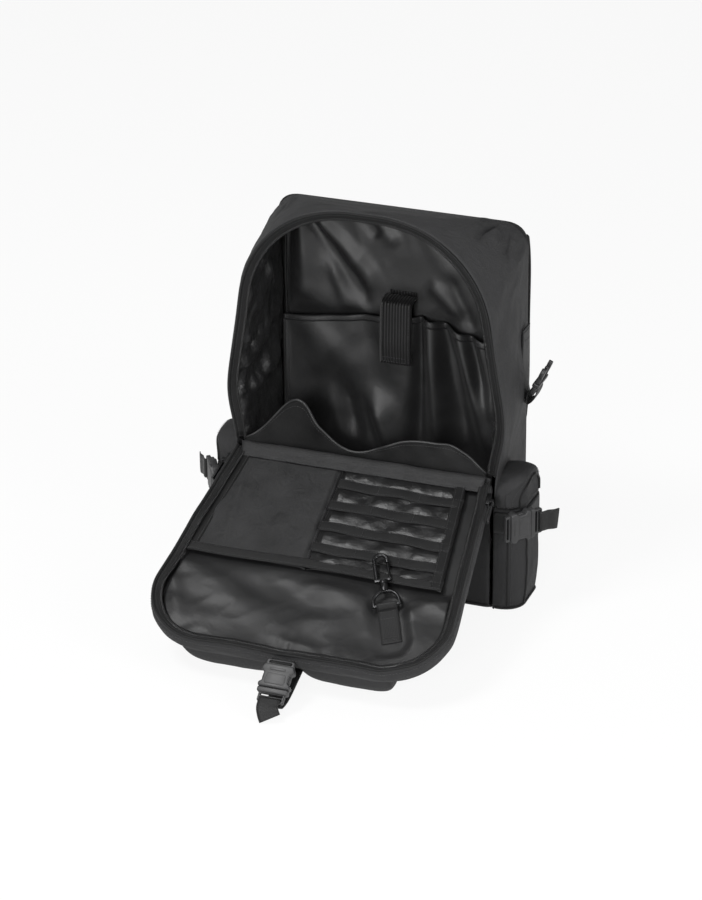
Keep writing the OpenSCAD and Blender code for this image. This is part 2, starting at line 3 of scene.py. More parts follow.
import bpy
import numpy as np
from mathutils import Matrix


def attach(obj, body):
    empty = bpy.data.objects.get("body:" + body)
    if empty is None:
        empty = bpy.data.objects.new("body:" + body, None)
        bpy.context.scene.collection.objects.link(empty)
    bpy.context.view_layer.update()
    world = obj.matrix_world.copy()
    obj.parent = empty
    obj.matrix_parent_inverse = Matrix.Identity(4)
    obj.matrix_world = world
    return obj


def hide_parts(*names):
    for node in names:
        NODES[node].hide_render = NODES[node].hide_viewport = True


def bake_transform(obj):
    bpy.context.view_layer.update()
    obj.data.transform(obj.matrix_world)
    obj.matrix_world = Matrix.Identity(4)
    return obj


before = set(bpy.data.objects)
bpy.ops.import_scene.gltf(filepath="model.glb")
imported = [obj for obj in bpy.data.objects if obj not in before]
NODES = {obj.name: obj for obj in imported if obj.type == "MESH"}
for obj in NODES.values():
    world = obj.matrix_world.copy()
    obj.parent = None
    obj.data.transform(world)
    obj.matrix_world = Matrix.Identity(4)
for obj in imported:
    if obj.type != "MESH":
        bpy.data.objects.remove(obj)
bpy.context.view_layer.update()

# ---------------------------------------------------------------- sizes in mm, from the CAD model
FRONT_Y, BACK_Y, BOARD_T = -60.5, 60.5, 8.0
LOWER_W, MOUTH_W, CROWN_W, CROWN_H, MOUTH_R = 300.0, 326.0, 292.0, 450.0, 126.0
BACK_W, BACK_H, BACK_R = 292.0, 411.0, 27.0
HINGE_Y, HINGE_Z, SLOPE = -66.0, 160.0, 24.0
PANEL_L, PANEL_W, PANEL_END_W, PANEL_R, PANEL_D = 276.0, 296.0, 342.0, 72.0, 18.0
FLOOR_N, POCKET_TOP = -13.5, -6.8
LINING_Y, SLEEVE_Y = 57.5, 40.5
BODY_D = BACK_Y - FRONT_Y
STRAP_X = 111.0  # middle of a shoulder strap
MM = 0.001


# ---------------------------------------------------------------- small maths
def noise2(x, y, scale, seed):
    """Smooth value noise between -1 and 1."""
    g = np.random.default_rng(seed).uniform(-1, 1, (64, 64))
    u, v = np.asarray(x, float) / scale + 17.3, np.asarray(y, float) / scale + 11.9
    i, j = np.floor(u).astype(int), np.floor(v).astype(int)
    f, h = u - i, v - j
    f, h = f * f * (3 - 2 * f), h * h * (3 - 2 * h)
    q = lambda a, b: g[(i + a) % 64, (j + b) % 64]
    return (q(0, 0) * (1 - f) + q(1, 0) * f) * (1 - h) + (q(0, 1) * (1 - f) + q(1, 1) * f) * h


def crumple(x, y, scale, seed):
    """Creased cloth: sharp crests between soft hollows, between 0 and 1."""
    a = 1 - np.abs(noise2(x, y, scale, seed)) * 1.6
    b = 1 - np.abs(noise2(x + y * 0.4, y - x * 0.3, scale * 0.52, seed + 1)) * 1.6
    return np.clip(0.65 * a + 0.35 * b, 0, 1)


def step(x, a, b):
    t = np.clip((np.asarray(x, float) - a) / (b - a), 0, 1)
    return t * t * (3 - 2 * t)


def fold(x, z, a, b, w0, w1, h, soft=0.18, sharp=2.0):
    """Height of one fold along the line from a to b, w0 wide at a and w1 at b."""
    ax, az = a
    dx, dz = b[0] - ax, b[1] - az
    n = math.hypot(dx, dz)
    t = ((x - ax) * dx + (z - az) * dz) / n / n
    d = ((x - ax) * dz - (z - az) * dx) / n
    w = w0 + (w1 - w0) * np.clip(t, 0, 1)
    return h * np.exp(-np.abs(d / w) ** sharp) * step(t, -soft, soft) * (1 - step(t, 1 - soft, 1 + soft))


def arc(cx, cz, r, a0, a1, n):
    return [(cx + r * math.cos(math.radians(a0 + (a1 - a0) * i / n)), cz
        + r * math.sin(math.radians(a0 + (a1 - a0) * i / n))) for i in range(n + 1)]


def mirrored(p):
    return p + [(-x, z) for x, z in reversed(p)]


def dense(p, counts):
    out = []
    for k, n in enumerate(counts):
        a, b = np.array(p[k], float), np.array(p[k + 1], float)
        out += [a + (b - a) * i / n for i in range(n)]
    return np.array(out + [np.array(p[-1], float)])


def soften(p, rounds=6):
    """Rounds the corners of a line of points and keeps its ends."""
    p = np.array(p, float)
    for _ in range(rounds):
        q = p.copy()
        q[1:-1] = (p[:-2] + 2 * p[1:-1] + p[2:]) / 4
        p = q
    return p


def run(p):
    """Running length along a line of points."""
    return np.concatenate([[0], np.cumsum(np.linalg.norm(np.diff(p, axis=0), axis=1))])


def resample(p, n=None, pitch=None, closed=False):
    p = np.asarray(p, float)
    if closed:
        p = np.vstack([p, p[:1]])
    s = run(p)
    if n is None:
        n = max(2, int(round(s[-1] / pitch)) + 1)
    t = np.linspace(0, s[-1], n, endpoint=not closed)
    return np.stack([np.interp(t, s, p[:, k]) for k in range(p.shape[1])], 1)


def spline(points, n):
    """Smooth line through a few points."""
    p = np.asarray(points, float)
    p = np.vstack([2 * p[0] - p[1], p, 2 * p[-1] - p[-2]])
    out = []
    m = len(p) - 3
    for t in np.linspace(0, m - 1e-9, n):
        i = int(t)
        f = t - i
        a, b, c, d = p[i], p[i + 1], p[i + 2], p[i + 3]
        out.append(0.5 * (2 * b + (c - a) * f + (2 * a - 5 * b + 4 * c - d) * f * f
            + (3 * b - a - 3 * c + d) * f ** 3))
    return np.array(out)


def unit(v):
    return v / np.maximum(np.linalg.norm(v, axis=-1, keepdims=True), 1e-9)


def grid_normals(P):
    du = np.gradient(P, axis=0)
    dv = np.gradient(P, axis=1)
    return unit(np.cross(du, dv))


def T(x, y, z):
    return Matrix.Translation((x, y, z))


def R(axis, deg):
    return Matrix.Rotation(math.radians(deg), 4, axis)


def M(axis):
    m = Matrix.Identity(4)
    m["XYZ".index(axis)]["XYZ".index(axis)] = -1
    return m


def xform(m, P):
    a = np.array(m, float)
    P = np.asarray(P, float)
    return P @ a[:3, :3].T + a[:3, 3]


ON_PANEL = T(0, HINGE_Y, HINGE_Z) @ R("X", SLOPE)


def pan(x, u, n):
    """Points on the front panel: x across, u away from the hinge, n above the rim."""
    x, u, n = np.broadcast_arrays(np.asarray(x, float), np.asarray(u, float), np.asarray(n, float))
    return xform(ON_PANEL, np.stack([x, -u, n], -1))


# ---------------------------------------------------------------- materials
class Mat:
    def __init__(self, name):
        self.m = bpy.data.materials.new(name)
        self.m.use_nodes = True
        self.t = self.m.node_tree
        self.t.nodes.clear()
        self.out = self.t.nodes.new("ShaderNodeOutputMaterial")
        self.b = self.t.nodes.new("ShaderNodeBsdfPrincipled")
        self.link(self.b.outputs[0], self.out.inputs[0])

    def link(self, a, b):
        self.t.links.new(a, b)

    def math(self, op, a, b=0.0, clamp=False):
        n = self.t.nodes.new("ShaderNodeMath")
        n.operation, n.use_clamp = op, clamp
        for k, v in enumerate((a, b)):
            if isinstance(v, (int, float)):
                n.inputs[k].default_value = v
            else:
                self.link(v, n.inputs[k])
        return n.outputs[0]

    def coords(self, uv):
        """Coordinates in mm: u and v along the cloth, or x, y, z of the piece."""
        n = self.t.nodes.new("ShaderNodeUVMap" if uv else "ShaderNodeTexCoord")
        m = self.t.nodes.new("ShaderNodeVectorMath")
        m.operation = "SCALE"
        m.inputs["Scale"].default_value = 1.0 if uv else 1000.0
        self.link(n.outputs[0] if uv else n.outputs["Object"], m.inputs[0])
        s = self.t.nodes.new("ShaderNodeSeparateXYZ")
        self.link(m.outputs[0], s.inputs[0])
        return m.outputs[0], s.outputs

    def noise(self, vec, size, detail=3.0, rough=0.55, distort=0.0):
        n = self.t.nodes.new("ShaderNodeTexNoise")
        self.link(vec, n.inputs["Vector"])
        n.inputs["Scale"].default_value = 1.0 / size
        n.inputs["Detail"].default_value = detail
        n.inputs["Roughness"].default_value = rough
        n.inputs["Distortion"].default_value = distort
        return n.outputs["Fac"]

    def wave(self, c, pitch, phase=0.0):
        return self.math("SINE", self.math("ADD", self.math("MULTIPLY", c, 2 * math.pi / pitch), phase))

    def ramp(self, fac, stops):
        n = self.t.nodes.new("ShaderNodeValToRGB")
        e = n.color_ramp.elements
        while len(e) < len(stops):
            e.new(0.5)
        for k, (p, c) in enumerate(stops):
            e[k].position, e[k].color = p, (*c, 1)
        self.link(fac, n.inputs[0])
        return n.outputs[0]

    def bump(self, height, mm, strength=1.0, under=None):
        n = self.t.nodes.new("ShaderNodeBump")
        n.inputs["Distance"].default_value = mm * MM
        n.inputs["Strength"].default_value = strength
        self.link(height, n.inputs["Height"])
        if under is not None:
            self.link(under, n.inputs["Normal"])
        return n.outputs[0]


def grey(v, tint=1.03):
    return (v, v, v * tint)


def cloth_mat(name, base, kind, pitch, rough, sheen=0.25, deep=0.12, crease=0.35, crease_mm=9.0, fleck=0.25, spec=0.4,
    span=1.7):
    """Black cloth: its weave, dusty flecks, uneven dye and fine creases."""
    m = Mat(name)
    vec, c = m.coords(True)
    u, v = c[0], c[1]
    if kind == "weave":
        h = m.math("MULTIPLY", m.wave(u, pitch), m.wave(v, pitch))
        h = m.math("ADD", m.math("MULTIPLY", h, 0.5), 0.5)
    elif kind == "rib":
        a = m.math("ABSOLUTE", m.wave(v, 2 * pitch))
        b = m.math("ABSOLUTE", m.wave(u, 3.1 * pitch, 0.6))
        h = m.math("ADD", m.math("MULTIPLY", a, 0.7), m.math("MULTIPLY", b, 0.3))
    elif kind == "ribs":
        h = m.math("ABSOLUTE", m.wave(u, 2 * pitch))
    elif kind == "twill":
        h = m.math("ADD", m.math("MULTIPLY", m.wave(m.math("ADD", u, v), pitch), 0.5), 0.5)
    else:
        a = m.math("ABSOLUTE", m.wave(u, 2 * pitch))
        b = m.math("ABSOLUTE", m.wave(v, 2 * pitch, 0.8))
        h = m.math("MULTIPLY", a, b)
    patch = m.noise(vec, 34.0, 4.0, 0.6)
    dust = m.noise(vec, 2.1, 3.0, 0.75)
    tone = m.math("ADD", m.math("MULTIPLY", patch, 0.55), m.math("MULTIPLY", dust, 0.45 * fleck / 0.25))
    tone = m.math("ADD", m.math("MULTIPLY", tone, 0.8), m.math("MULTIPLY", h, 0.22))
    col = m.ramp(tone, [(0.3, grey(base / span)), (0.5, grey(base)), (0.7, grey(base * span))])
    m.link(col, m.b.inputs["Base Color"])
    r = m.math("ADD", rough - 0.06, m.math("MULTIPLY", patch, 0.12), True)
    m.link(r, m.b.inputs["Roughness"])
    fine = m.noise(vec, crease_mm, 4.0, 0.6, 0.8)
    n = m.bump(fine, crease, 1.0)
    m.link(m.bump(h, deep, 0.9, n), m.b.inputs["Normal"])
    m.b.inputs["Sheen Weight"].default_value = sheen
    m.b.inputs["Sheen Roughness"].default_value = 0.45
    m.b.inputs["Specular IOR Level"].default_value = spec
    return m.m


def hard_mat(name, base, rough, metal=0.0, grain=0.5, grain_mm=0.02, wear=1.8, spec=0.5):
    """Moulded or painted surface: fine grain, rubbed patches and small scratches."""
    m = Mat(name)
    vec, c = m.coords(False)
    rub = m.noise(vec, 9.0, 4.0, 0.65)
    fine = m.noise(vec, grain, 2.0, 0.6)
    scr = m.noise(vec, 2.6, 1.0, 0.4, 2.4)
    line = m.math("LESS_THAN", m.math("ABSOLUTE", m.math("SUBTRACT", scr, 0.5)), 0.006)
    tone = m.math("ADD", rub, m.math("MULTIPLY", line, 0.16))
    col = m.ramp(tone, [(0.35, grey(base * 0.8)), (0.6, grey(base)), (0.85, grey(base * wear))])
    m.link(col, m.b.inputs["Base Color"])
    m.link(m.math("ADD", rough - 0.08, m.math("MULTIPLY", rub, 0.2), True), m.b.inputs["Roughness"])
    m.link(m.bump(fine, grain_mm, 0.8), m.b.inputs["Normal"])
    m.b.inputs["Metallic"].default_value = metal
    m.b.inputs["Specular IOR Level"].default_value = spec
    return m.m


# name, base grey, weave, its pitch in mm, roughness, sheen, then the depths in mm of weave and creases, the size of
# creases, fleck, specular level and span of greys
OUTER = cloth_mat("outer_fabric", 0.0075, "weave", 1.15, 0.66, 0.0, 0.35, 1.1, 9.0, 0.8, 0.22, 3.6)
OUTER_SOFT = cloth_mat("outer_fabric_light", 0.0075, "weave", 1.15, 0.64, 0.0, 0.35, 1.5, 8.0, 0.9, 0.24, 4.0)
LINING = cloth_mat("lining_satin", 0.016, "twill", 0.55, 0.42, 0.02, 0.03, 0.25, 16.0, 0.12, 0.5)
NYLON = cloth_mat("lining_nylon", 0.0095, "weave", 0.7, 0.36, 0.02, 0.04, 0.7, 7.0, 0.12, 0.55)
FLAT = cloth_mat("pocket_fabric", 0.009, "weave", 0.8, 0.5, 0.02, 0.14, 1.1, 17.0, 0.4, 0.28, 2.6)
# the panel floor's satin is the lining satin made darker (0.0115 against 0.016): painted shade
FLOOR_SATIN_PAINTED_SHADE = cloth_mat("panel_satin_painted_shade", 0.0115, "twill", 0.55, 0.44, 0.02, 0.03, 0.3, 14.0, 0.15, 0.42)
# the lip's cloth is the outer fabric made darker (0.005 against 0.0075): painted shade
LIP_CLOTH_PAINTED_SHADE = cloth_mat("lip_fabric_painted_shade", 0.005, "weave", 0.9, 0.55, 0.02, 0.08, 0.4, 10.0, 0.2, 0.2)
WEB = cloth_mat("webbing", 0.009, "rib", 1.1, 0.55, 0.05, 0.25, 0.15, 12.0, 0.3, 0.28)
ELASTIC = cloth_mat("elastic", 0.007, "rib", 0.9, 0.58, 0.04, 0.16, 0.2, 10.0, 0.2, 0.24)
TAPE = cloth_mat("binding_tape", 0.006, "rib", 0.7, 0.52, 0.04, 0.14, 0.15, 8.0, 0.2, 0.24)
RIBBED = cloth_mat("ribbed_strap", 0.008, "ribs", 3.4, 0.5, 0.06, 0.9, 0.1, 12.0, 0.2, 0.35, 2.4)
WALL = cloth_mat("gusset_nylon", 0.009, "weave", 0.7, 0.34, 0.02, 0.05, 0.9, 8.0, 0.2, 0.6, 2.0)
MESH = cloth_mat("air_mesh", 0.009, "mesh", 1.9, 0.65, 0.08, 0.5, 0.2, 14.0, 0.3, 0.25)
THREAD = cloth_mat("thread", 0.05, "twill", 0.3, 0.45, 0.05, 0.05, 0.02, 3.0, 0.1, 0.4)
# name, base grey, roughness, metal, size and depth of grain in mm, wear, specular level
COIL = hard_mat("zip_coil", 0.008, 0.35, 0.0, 0.4, 0.01, 1.6, 0.4)
PLASTIC = hard_mat("buckle_plastic", 0.03, 0.42, 0.0, 0.5, 0.03, 1.5, 0.4)
METAL = hard_mat("black_metal", 0.03, 0.28, 0.85, 0.5, 0.012, 2.4)


# ---------------------------------------------------------------- making meshes
def add(name, V, F, mat, uv=None, m=None):
    me = bpy.data.meshes.new(name)
    V = np.asarray(V, float).reshape(-1, 3)
    if m is not None:
        V = xform(m, V)
        if np.linalg.det(np.array(m, float)[:3, :3]) < 0:
            F = [tuple(reversed(f)) for f in F]
    me.from_pydata((V * MM).tolist(), [], [tuple(int(i) for i in f) for f in F])
    me.materials.append(mat)
    if uv is not None:
        layer = me.uv_layers.new(name="UVMap")
        idx = np.zeros(len(me.loops), int)
        me.loops.foreach_get("vertex_index", idx)
        layer.data.foreach_set("uv", np.asarray(uv, float)[idx].ravel())
    me.polygons.foreach_set("use_smooth", [True] * len(me.polygons))
    me.update()
    o = bpy.data.objects.new(name, me)
    bpy.context.scene.collection.objects.link(o)
    return o


def measured(P):
    """Running distance over a grid of points in both directions."""
    du = np.linalg.norm(np.diff(P, axis=0), axis=-1).mean(1)
    dv = np.linalg.norm(np.diff(P, axis=1), axis=-1).mean(0)
    return np.concatenate([[0], np.cumsum(du)]), np.concatenate([[0], np.cumsum(dv)])


def skin_faces(nu, nv, side):
    """Faces of two grids of nu x nv points, one above the other, and of the edge that joins them."""
    k = nu * nv
    F = []
    for i in range(nu - 1):
        for j in range(nv - 1):
            a, b, c, d = i * nv + j, (i + 1) * nv + j, (i + 1) * nv + j + 1, i * nv + j + 1
            F += [(a, b, c, d), (k + a, k + d, k + c, k + b)] if side > 0 else [(a, d, c, b),
                (k + a, k + b, k + c, k + d)]
    rim = [i * nv for i in range(nu)] + [(nu - 1) * nv + j for j in range(1, nv)]
    rim += [i * nv + nv - 1 for i in range(nu - 2, -1, -1)] + list(range(nv - 2, 0, -1))
    for a, b in zip(rim, rim[1:] + rim[:1]):
        F.append((a, k + a, k + b, b) if side > 0 else (a, b, k + b, k + a))
    return F


def facing(P, i, j, toward):
    """1 if the grid's normal at (i, j) points that way, or else -1."""
    return 1 if grid_normals(P)[i, j] @ np.array(toward, float) > 0 else -1


def sheet(name, P, mat, thick=1.0, side=1):
    """A sheet of cloth through a grid of points, thickened to the back of its normals."""
    back = P - grid_normals(P) * side * thick
    V = np.concatenate([P.reshape(-1, 3), back.reshape(-1, 3)])
    su, sv = measured(P)
    uv = np.stack(np.meshgrid(su, sv, indexing="ij"), -1).reshape(-1, 2)
    o = add(name, V, skin_faces(*P.shape[:2], side), mat, np.concatenate([uv] * 2))
    o["flat_w"], o["flat_l"] = float(su[-1] * MM), float(sv[-1] * MM)
    return o


def declare_sheet(o):
    me = o.data
    area = sum(p.area for p in me.polygons) / 2
    w, l = round(o["flat_w"], 4), round(o["flat_l"], 4)
    if area > w * l:
        w = round(area / l, 4)
    return o


def tube(name, path, r, mat, sides=10, closed=False, flat=1.0, up=None, caps=True):
    """Round or flattened tube along a path."""
    P = np.asarray(path, float)
    n = len(P)
    t = unit(np.roll(P, -1, 0) - np.roll(P, 1, 0)) if closed else unit(np.gradient(P, axis=0))
    if up is None:
        ref = np.array([0.0, 0, 1]) if abs(t[0][2]) < 0.9 else np.array([0.0, 1, 0])
        a = unit(np.cross(t[0], ref))
        A = []
        for k in range(n):
            a = unit(a - (a @ t[k]) * t[k])
            A.append(a)
        A = np.array(A)
    else:
        A = unit(np.cross(np.broadcast_to(up, P.shape), t))
    B = np.cross(t, A)
    rr = np.broadcast_to(np.asarray(r, float), (n,))
    V, uv = [], []
    s = run(P)
    for k in range(n):
        for j in range(sides):
            w = 2 * math.pi * j / sides
            V.append(P[k] + rr[k] * (math.cos(w) * A[k] + math.sin(w) * flat * B[k]))
            uv.append((rr[k] * w, s[k]))
    F = []
    for k in range(n if closed else n - 1):
        for j in range(sides):
            a, b = k * sides + j, k * sides + (j + 1) % sides
            c, d = ((k + 1) % n) * sides + (j + 1) % sides, ((k + 1) % n) * sides + j
            F.append((a, d, c, b))
    if caps and not closed:
        F += [tuple(range(sides)), tuple((n - 1) * sides + j for j in reversed(range(sides)))]
    return add(name, V, F, mat, uv)


def band(name, path, across, width, thick, mat, round_edge=0.35, cols=8):
    """Flat webbing along a path: across is the direction of its width."""
    P = np.asarray(path, float)
    n = len(P)
    A = unit(np.broadcast_to(np.asarray(across, float), P.shape))
    t = unit(np.gradient(P, axis=0))
    A = unit(A - (A * t).sum(1, keepdims=True) * t)
    N = np.cross(t, A)
    W = np.broadcast_to(np.asarray(width, float), (n,))
    ring = []
    for k in range(cols + 1):
        q = -0.5 + k / cols
        ring.append((q, 0.5 * (1 - round_edge * (abs(2 * q) ** 6))))
    ring += [(q, -h) for q, h in reversed(ring)]
    m = len(ring)
    s = run(P)
    V, uv = [], []
    for k in range(n):
        for q, h in ring:
            V.append(P[k] + A[k] * q * W[k] + N[k] * h * thick)
            uv.append((q * W[k], s[k]))
    F = []
    for k in range(n - 1):
        for j in range(m):
            a, b = k * m + j, k * m + (j + 1) % m
            F.append((a, b, b + m, a + m))
    F += [tuple(reversed(range(m))), tuple((n - 1) * m + j for j in range(m))]
    return add(name, V, F, mat, uv)


def normals_along(path, normal, n):
    """The normals of a path, given at its points or as one direction, at n even steps."""
    N = np.broadcast_to(np.asarray(normal, float), np.asarray(path).shape)
    s, t = np.linspace(0, 1, n), np.linspace(0, 1, len(N))
    return unit(np.stack([np.interp(s, t, N[:, k]) for k in range(3)], 1))


STITCH = {}


def stitch(body, path, normal, pitch=3.6, length=2.5, r=0.42, lift=0.2):
    """A row of thread stitches along a path, lying on a surface with that normal."""
    P = resample(path, pitch=pitch / 4)
    N = normals_along(path, normal, len(P))
    V, F = STITCH.setdefault(body, ([], []))
    for k in range(1, len(P) - 4, 4):
        a = P[k]
        t = unit(P[min(k + 3, len(P) - 1)] - a)
        n, b = N[k], np.cross(t, N[k])
        i0 = len(V)
        V.append(a - 0.1 * n)
        for q, w in ((0.22, 0.8), (0.5, 1.0), (0.78, 0.8)):
            c = a + t * length * q + n * lift
            for j in range(5):
                f = 2 * math.pi * j / 5
                V.append(c + w * r * (math.cos(f) * b + math.sin(f) * n))
        V.append(a + t * length - 0.1 * n)
        for j in range(5):
            j2 = (j + 1) % 5
            F.append((i0, i0 + 1 + j2, i0 + 1 + j))
            F.append((i0 + 16, i0 + 11 + j, i0 + 11 + j2))
            for q in (0, 5):
                F.append((i0 + 1 + q + j, i0 + 1 + q + j2, i0 + 6 + q + j2, i0 + 6 + q + j))


def zip_teeth(name, path, normal, mat, pitch=1.7, w=3.2, h=1.3):
    """Nylon coil along a path: a small rounded tooth at each turn."""
    P = resample(path, pitch=pitch / 2)
    N = normals_along(path, normal, len(P))
    V, F = [], []
    for k in range(0, len(P) - 1, 2):
        t = unit(P[k + 1] - P[k])
        n = N[k]
        b = np.cross(t, n)
        i0 = len(V)
        for q, g in ((-0.5, 0.5), (-0.25, 1.0), (0.25, 1.0), (0.5, 0.6)):
            c = P[k] + b * w * q
            for a1, a2 in ((-1, -1), (1, -1), (0.7, 1), (-0.7, 1)):
                V.append(c + t * a1 * pitch * 0.36 + n * a2 * h * 0.5 * g)
        F += [(i0, i0 + 1, i0 + 2, i0 + 3), (i0 + 15, i0 + 14, i0 + 13, i0 + 12)]
        for q in (0, 4, 8):
            for j in range(4):
                j2 = (j + 1) % 4
                F.append((i0 + q + j, i0 + q + 4 + j, i0 + q + 4 + j2, i0 + q + j2))
    return add(name, V, F, mat)


def plate(loops, z0, z1, bevel):
    """Moulded plate with rounded edges: closed outlines, the inner ones as holes, between two heights."""
    cu = bpy.data.curves.new("outline", "CURVE")
    cu.dimensions, cu.fill_mode = "2D", "BOTH"
    cu.extrude, cu.bevel_depth, cu.bevel_resolution, cu.offset = (z1 - z0) / 2 - bevel, bevel, 2, -bevel
    for loop in loops:
        s = cu.splines.new("POLY")
        s.points.add(len(loop) - 1)
        for q, (x, y) in zip(s.points, loop):
            q.co = (x, y, 0, 1)
        s.use_cyclic_u = True
    o = bpy.data.objects.new("outline", cu)
    bpy.context.scene.collection.objects.link(o)
    me = bpy.data.meshes.new_from_object(o.evaluated_get(bpy.context.evaluated_depsgraph_get()))
    V = np.array([v.co for v in me.vertices], float) + (0, 0, (z0 + z1) / 2)
    F = [tuple(p.vertices) for p in me.polygons]
    bpy.data.objects.remove(o)
    return V, F


def rounded(points, r=1.5, n=4):
    """A closed outline with its corners rounded."""
    out = []
    k = len(points)
    for i in range(k):
        a, b, c = (np.array(points[(i + d) % k], float) for d in (-1, 0, 1))
        la, lc = np.linalg.norm(a - b), np.linalg.norm(c - b)
        d = min(r, la * 0.45, lc * 0.45)
        p, q = b + (a - b) / la * d, b + (c - b) / lc * d
        for t in np.linspace(0, 1, n):
            out.append(tuple((1 - t) ** 2 * p + 2 * t * (1 - t) * b + t * t * q))
    return out


def joined(name, parts, mat, m):
    """One piece from several moulded parts, placed by m."""
    V, F = [], []
    for v, f in parts:
        F += [tuple(i + len(V) for i in q) for q in f]
        V += [tuple(p) for p in v]
    o = add(name, np.array(V), F, mat, m=m)
    w = o.modifiers.new("weld", "WELD")
    w.merge_threshold = 0.00001
    return shade(o)


def shade(o, angle=40):
    """Smooth shading that keeps hard edges."""
    bpy.context.view_layer.objects.active = o
    o.select_set(True)
    bpy.ops.object.shade_smooth_by_angle(angle=math.radians(angle))
    o.select_set(False)
    return o


def tag(o, body, slot, *nodes, pad=None):
    if nodes:
        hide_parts(*nodes)
    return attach(o, body)


# ---------------------------------------------------------------- the body's walls
def mouth_half(i):
    """Left half of the mouth's outline from the floor up, moved in by i."""
    foot = [(-LOWER_W / 2 + i, 0), (-LOWER_W / 2 + i, HINGE_Z), (-MOUTH_W / 2 + i, HINGE_Z + 60)]
    return foot + arc(-CROWN_W / 2 + MOUTH_R, CROWN_H - MOUTH_R, MOUTH_R - i, 180, 92, 9)


def back_half(i):
    """The same for the back, which is squarer."""
    foot = [(-BACK_W / 2 + i, 0), (-BACK_W / 2 + i, HINGE_Z), (-BACK_W / 2 + i, HINGE_Z + 60)]
    return foot + arc(-BACK_W / 2 + BACK_R, BACK_H - BACK_R, BACK_R - i, 180, 92, 9)


COUNTS = [16, 10, 16] + [4] * 9
COUNTS = COUNTS + [28] + COUNTS[::-1]
RIM = soften(dense(mirrored(mouth_half(0)), COUNTS), 14)
REAR = soften(dense(mirrored(back_half(0)), COUNTS), 5)
STATIONS = len(RIM)
RIM_S = run(RIM)


def wall(inset, t0, t1, rows, push):
    """Grid over the arch: stations round it, rows from the mouth to the back. push(s, t) is how far it stands out."""
    t = np.linspace(t0, t1, rows)
    P = np.zeros((STATIONS, rows, 3))
    for j, tt in enumerate(t):
        xz = RIM * (1 - tt) + REAR * tt
        P[:, j, 0], P[:, j, 2] = xz[:, 0], xz[:, 1]
        P[:, j, 1] = FRONT_Y + (BACK_Y - FRONT_Y) * tt
    tan = unit(np.gradient(P[:, :, [0, 2]], axis=0))
    out = np.stack([-tan[..., 1], np.zeros_like(tan[..., 0]), tan[..., 0]], -1)
    S, U = np.meshgrid(RIM_S, t * BODY_D, indexing="ij")
    P += out * (push(S, U, P) - inset)[..., None]
    return P


TOTAL = RIM_S[-1]


def outer_push(S, U, P):
    x, z = P[..., 0], P[..., 2]
    edge = step(U, 0, 14) * (1 - step(U, 108, BODY_D))
    p = 2.2 * np.sin(np.pi * np.clip(U / BODY_D, 0, 1)) * step(z, 150, 230)
    p += edge * 1.5 * noise2(S, U, 46, 3) + edge * 0.8 * noise2(S, U, 17, 4)
    # the slack corner of the top where the arch turns down into the side
    k = TOTAL - 468
    for a, b, w0, w1, h in (((k - 8, 100), (k + 30, 50), 4.0, 7.0, -5.5), ((k - 20, 95), (k + 8, 60), 4.0, 5.0, 3.2),
        ((k + 14, 92), (k + 52, 62), 4.0, 6.0, 3.0), ((k + 40, 104), (k + 78, 70), 3.5, 6.0, -3.2),
        ((k - 48, 104), (k - 18, 80), 5.0, 7.0, 1.8)):
        p += fold(S, U, a, b, w0, w1, h, 0.25) * edge
    for a, b, w0, w1, h in (((468 + 8, 100), (430, 50), 4.0, 7.0, -4.0), ((480, 95), (455, 60), 4.0, 6.0, 2.6)):
        p += fold(S, U, a, b, w0, w1, h, 0.25) * edge
    p += 1.2 * crumple(S, U * 1.6, 30, 8) * edge * step(z, 140, 200)
    return p


SHELL = wall(-0.2, 0, 1, 30, outer_push)
shell = sheet("body_shell", SHELL, OUTER_SOFT, 1.4, -1)
tag(shell, "pack", "outer_fabric", "side_wall_left", "side_wall_right", "top_wall")
declare_sheet(shell)
N_SHELL = -grid_normals(SHELL)
for j in (2, 3):
    stitch("pack", SHELL[:, j] + N_SHELL[:, j] * 0.25, N_SHELL[:, j])


def lining_push(S, U, P):
    z = P[..., 2]
    edge = step(U, 2, 16) * (1 - step(U, 100, 119))
    c = crumple(S, U * 1.2, 30, 21) * 7.0 + crumple(S, U, 14, 25) * 2.4
    c = c * (0.35 + 0.65 * (1 - step(z, 300, 400)))
    p = -edge * (c + 1.5)
    for k in (1, -1):
        s0 = 0 if k == 1 else TOTAL
        for q, h in ((205, -6), (246, -4), (300, -5), (345, -6), (388, -4)):
            p += fold(S, U, (s0 + k * q, 20), (s0 + k * (q + 26), 96), 5, 9, h, 0.2) * edge
    return p


INNER = wall(4.2, 0.05, 0.985, 34, lining_push)
lin = sheet("gusset_lining", INNER, WALL, 0.6, 1)
tag(lin, "pack", "lining")
declare_sheet(lin)

# bound edge and zip round the mouth, above the hinge
up = [k for k in range(STATIONS) if RIM[k][1] >= HINGE_Z + 2]
EDGE = np.array([[RIM[k][0], FRONT_Y, RIM[k][1]] for k in up])
tn = unit(np.gradient(EDGE[:, [0, 2]], axis=0))
EOUT = np.stack([-tn[:, 1], 0 * tn[:, 0], tn[:, 0]], 1)
s_e = run(EDGE)
wob = noise2(s_e, 0 * s_e, 42, 31)[:, None] * 0.9
piping = tube("mouth_piping", EDGE - EOUT * 0.9 + np.array([0, -0.6, 0]) + wob * np.array([0, 0.9, 0]), 1.4, TAPE, 10)
tag(piping, "pack", "tape")
tape_rows = np.linspace(1.0, 9.0, 7)
TP = np.stack([EDGE - EOUT * r + np.array([0, 1, 0]) * (-1.3 + 0.45 * r) + wob * np.array([0, 1.0, 0]) * r / 10
    for r in tape_rows], 1)
zt = sheet("mouth_zip_tape", TP, TAPE, 0.8, facing(TP, 10, 3, (0, -1, 0)))
tag(zt, "pack", "tape", "mouth_zip")
teeth = zip_teeth("mouth_zip_coil", TP[:, -1] + np.array([0, -0.4, 0]), (0, -1, 0), COIL)
tag(teeth, "pack", "tape")
stitch("pack", TP[:, 2] + np.array([0, -0.2, 0]), (0, -1, 0), 2.8, 1.9, 0.26)


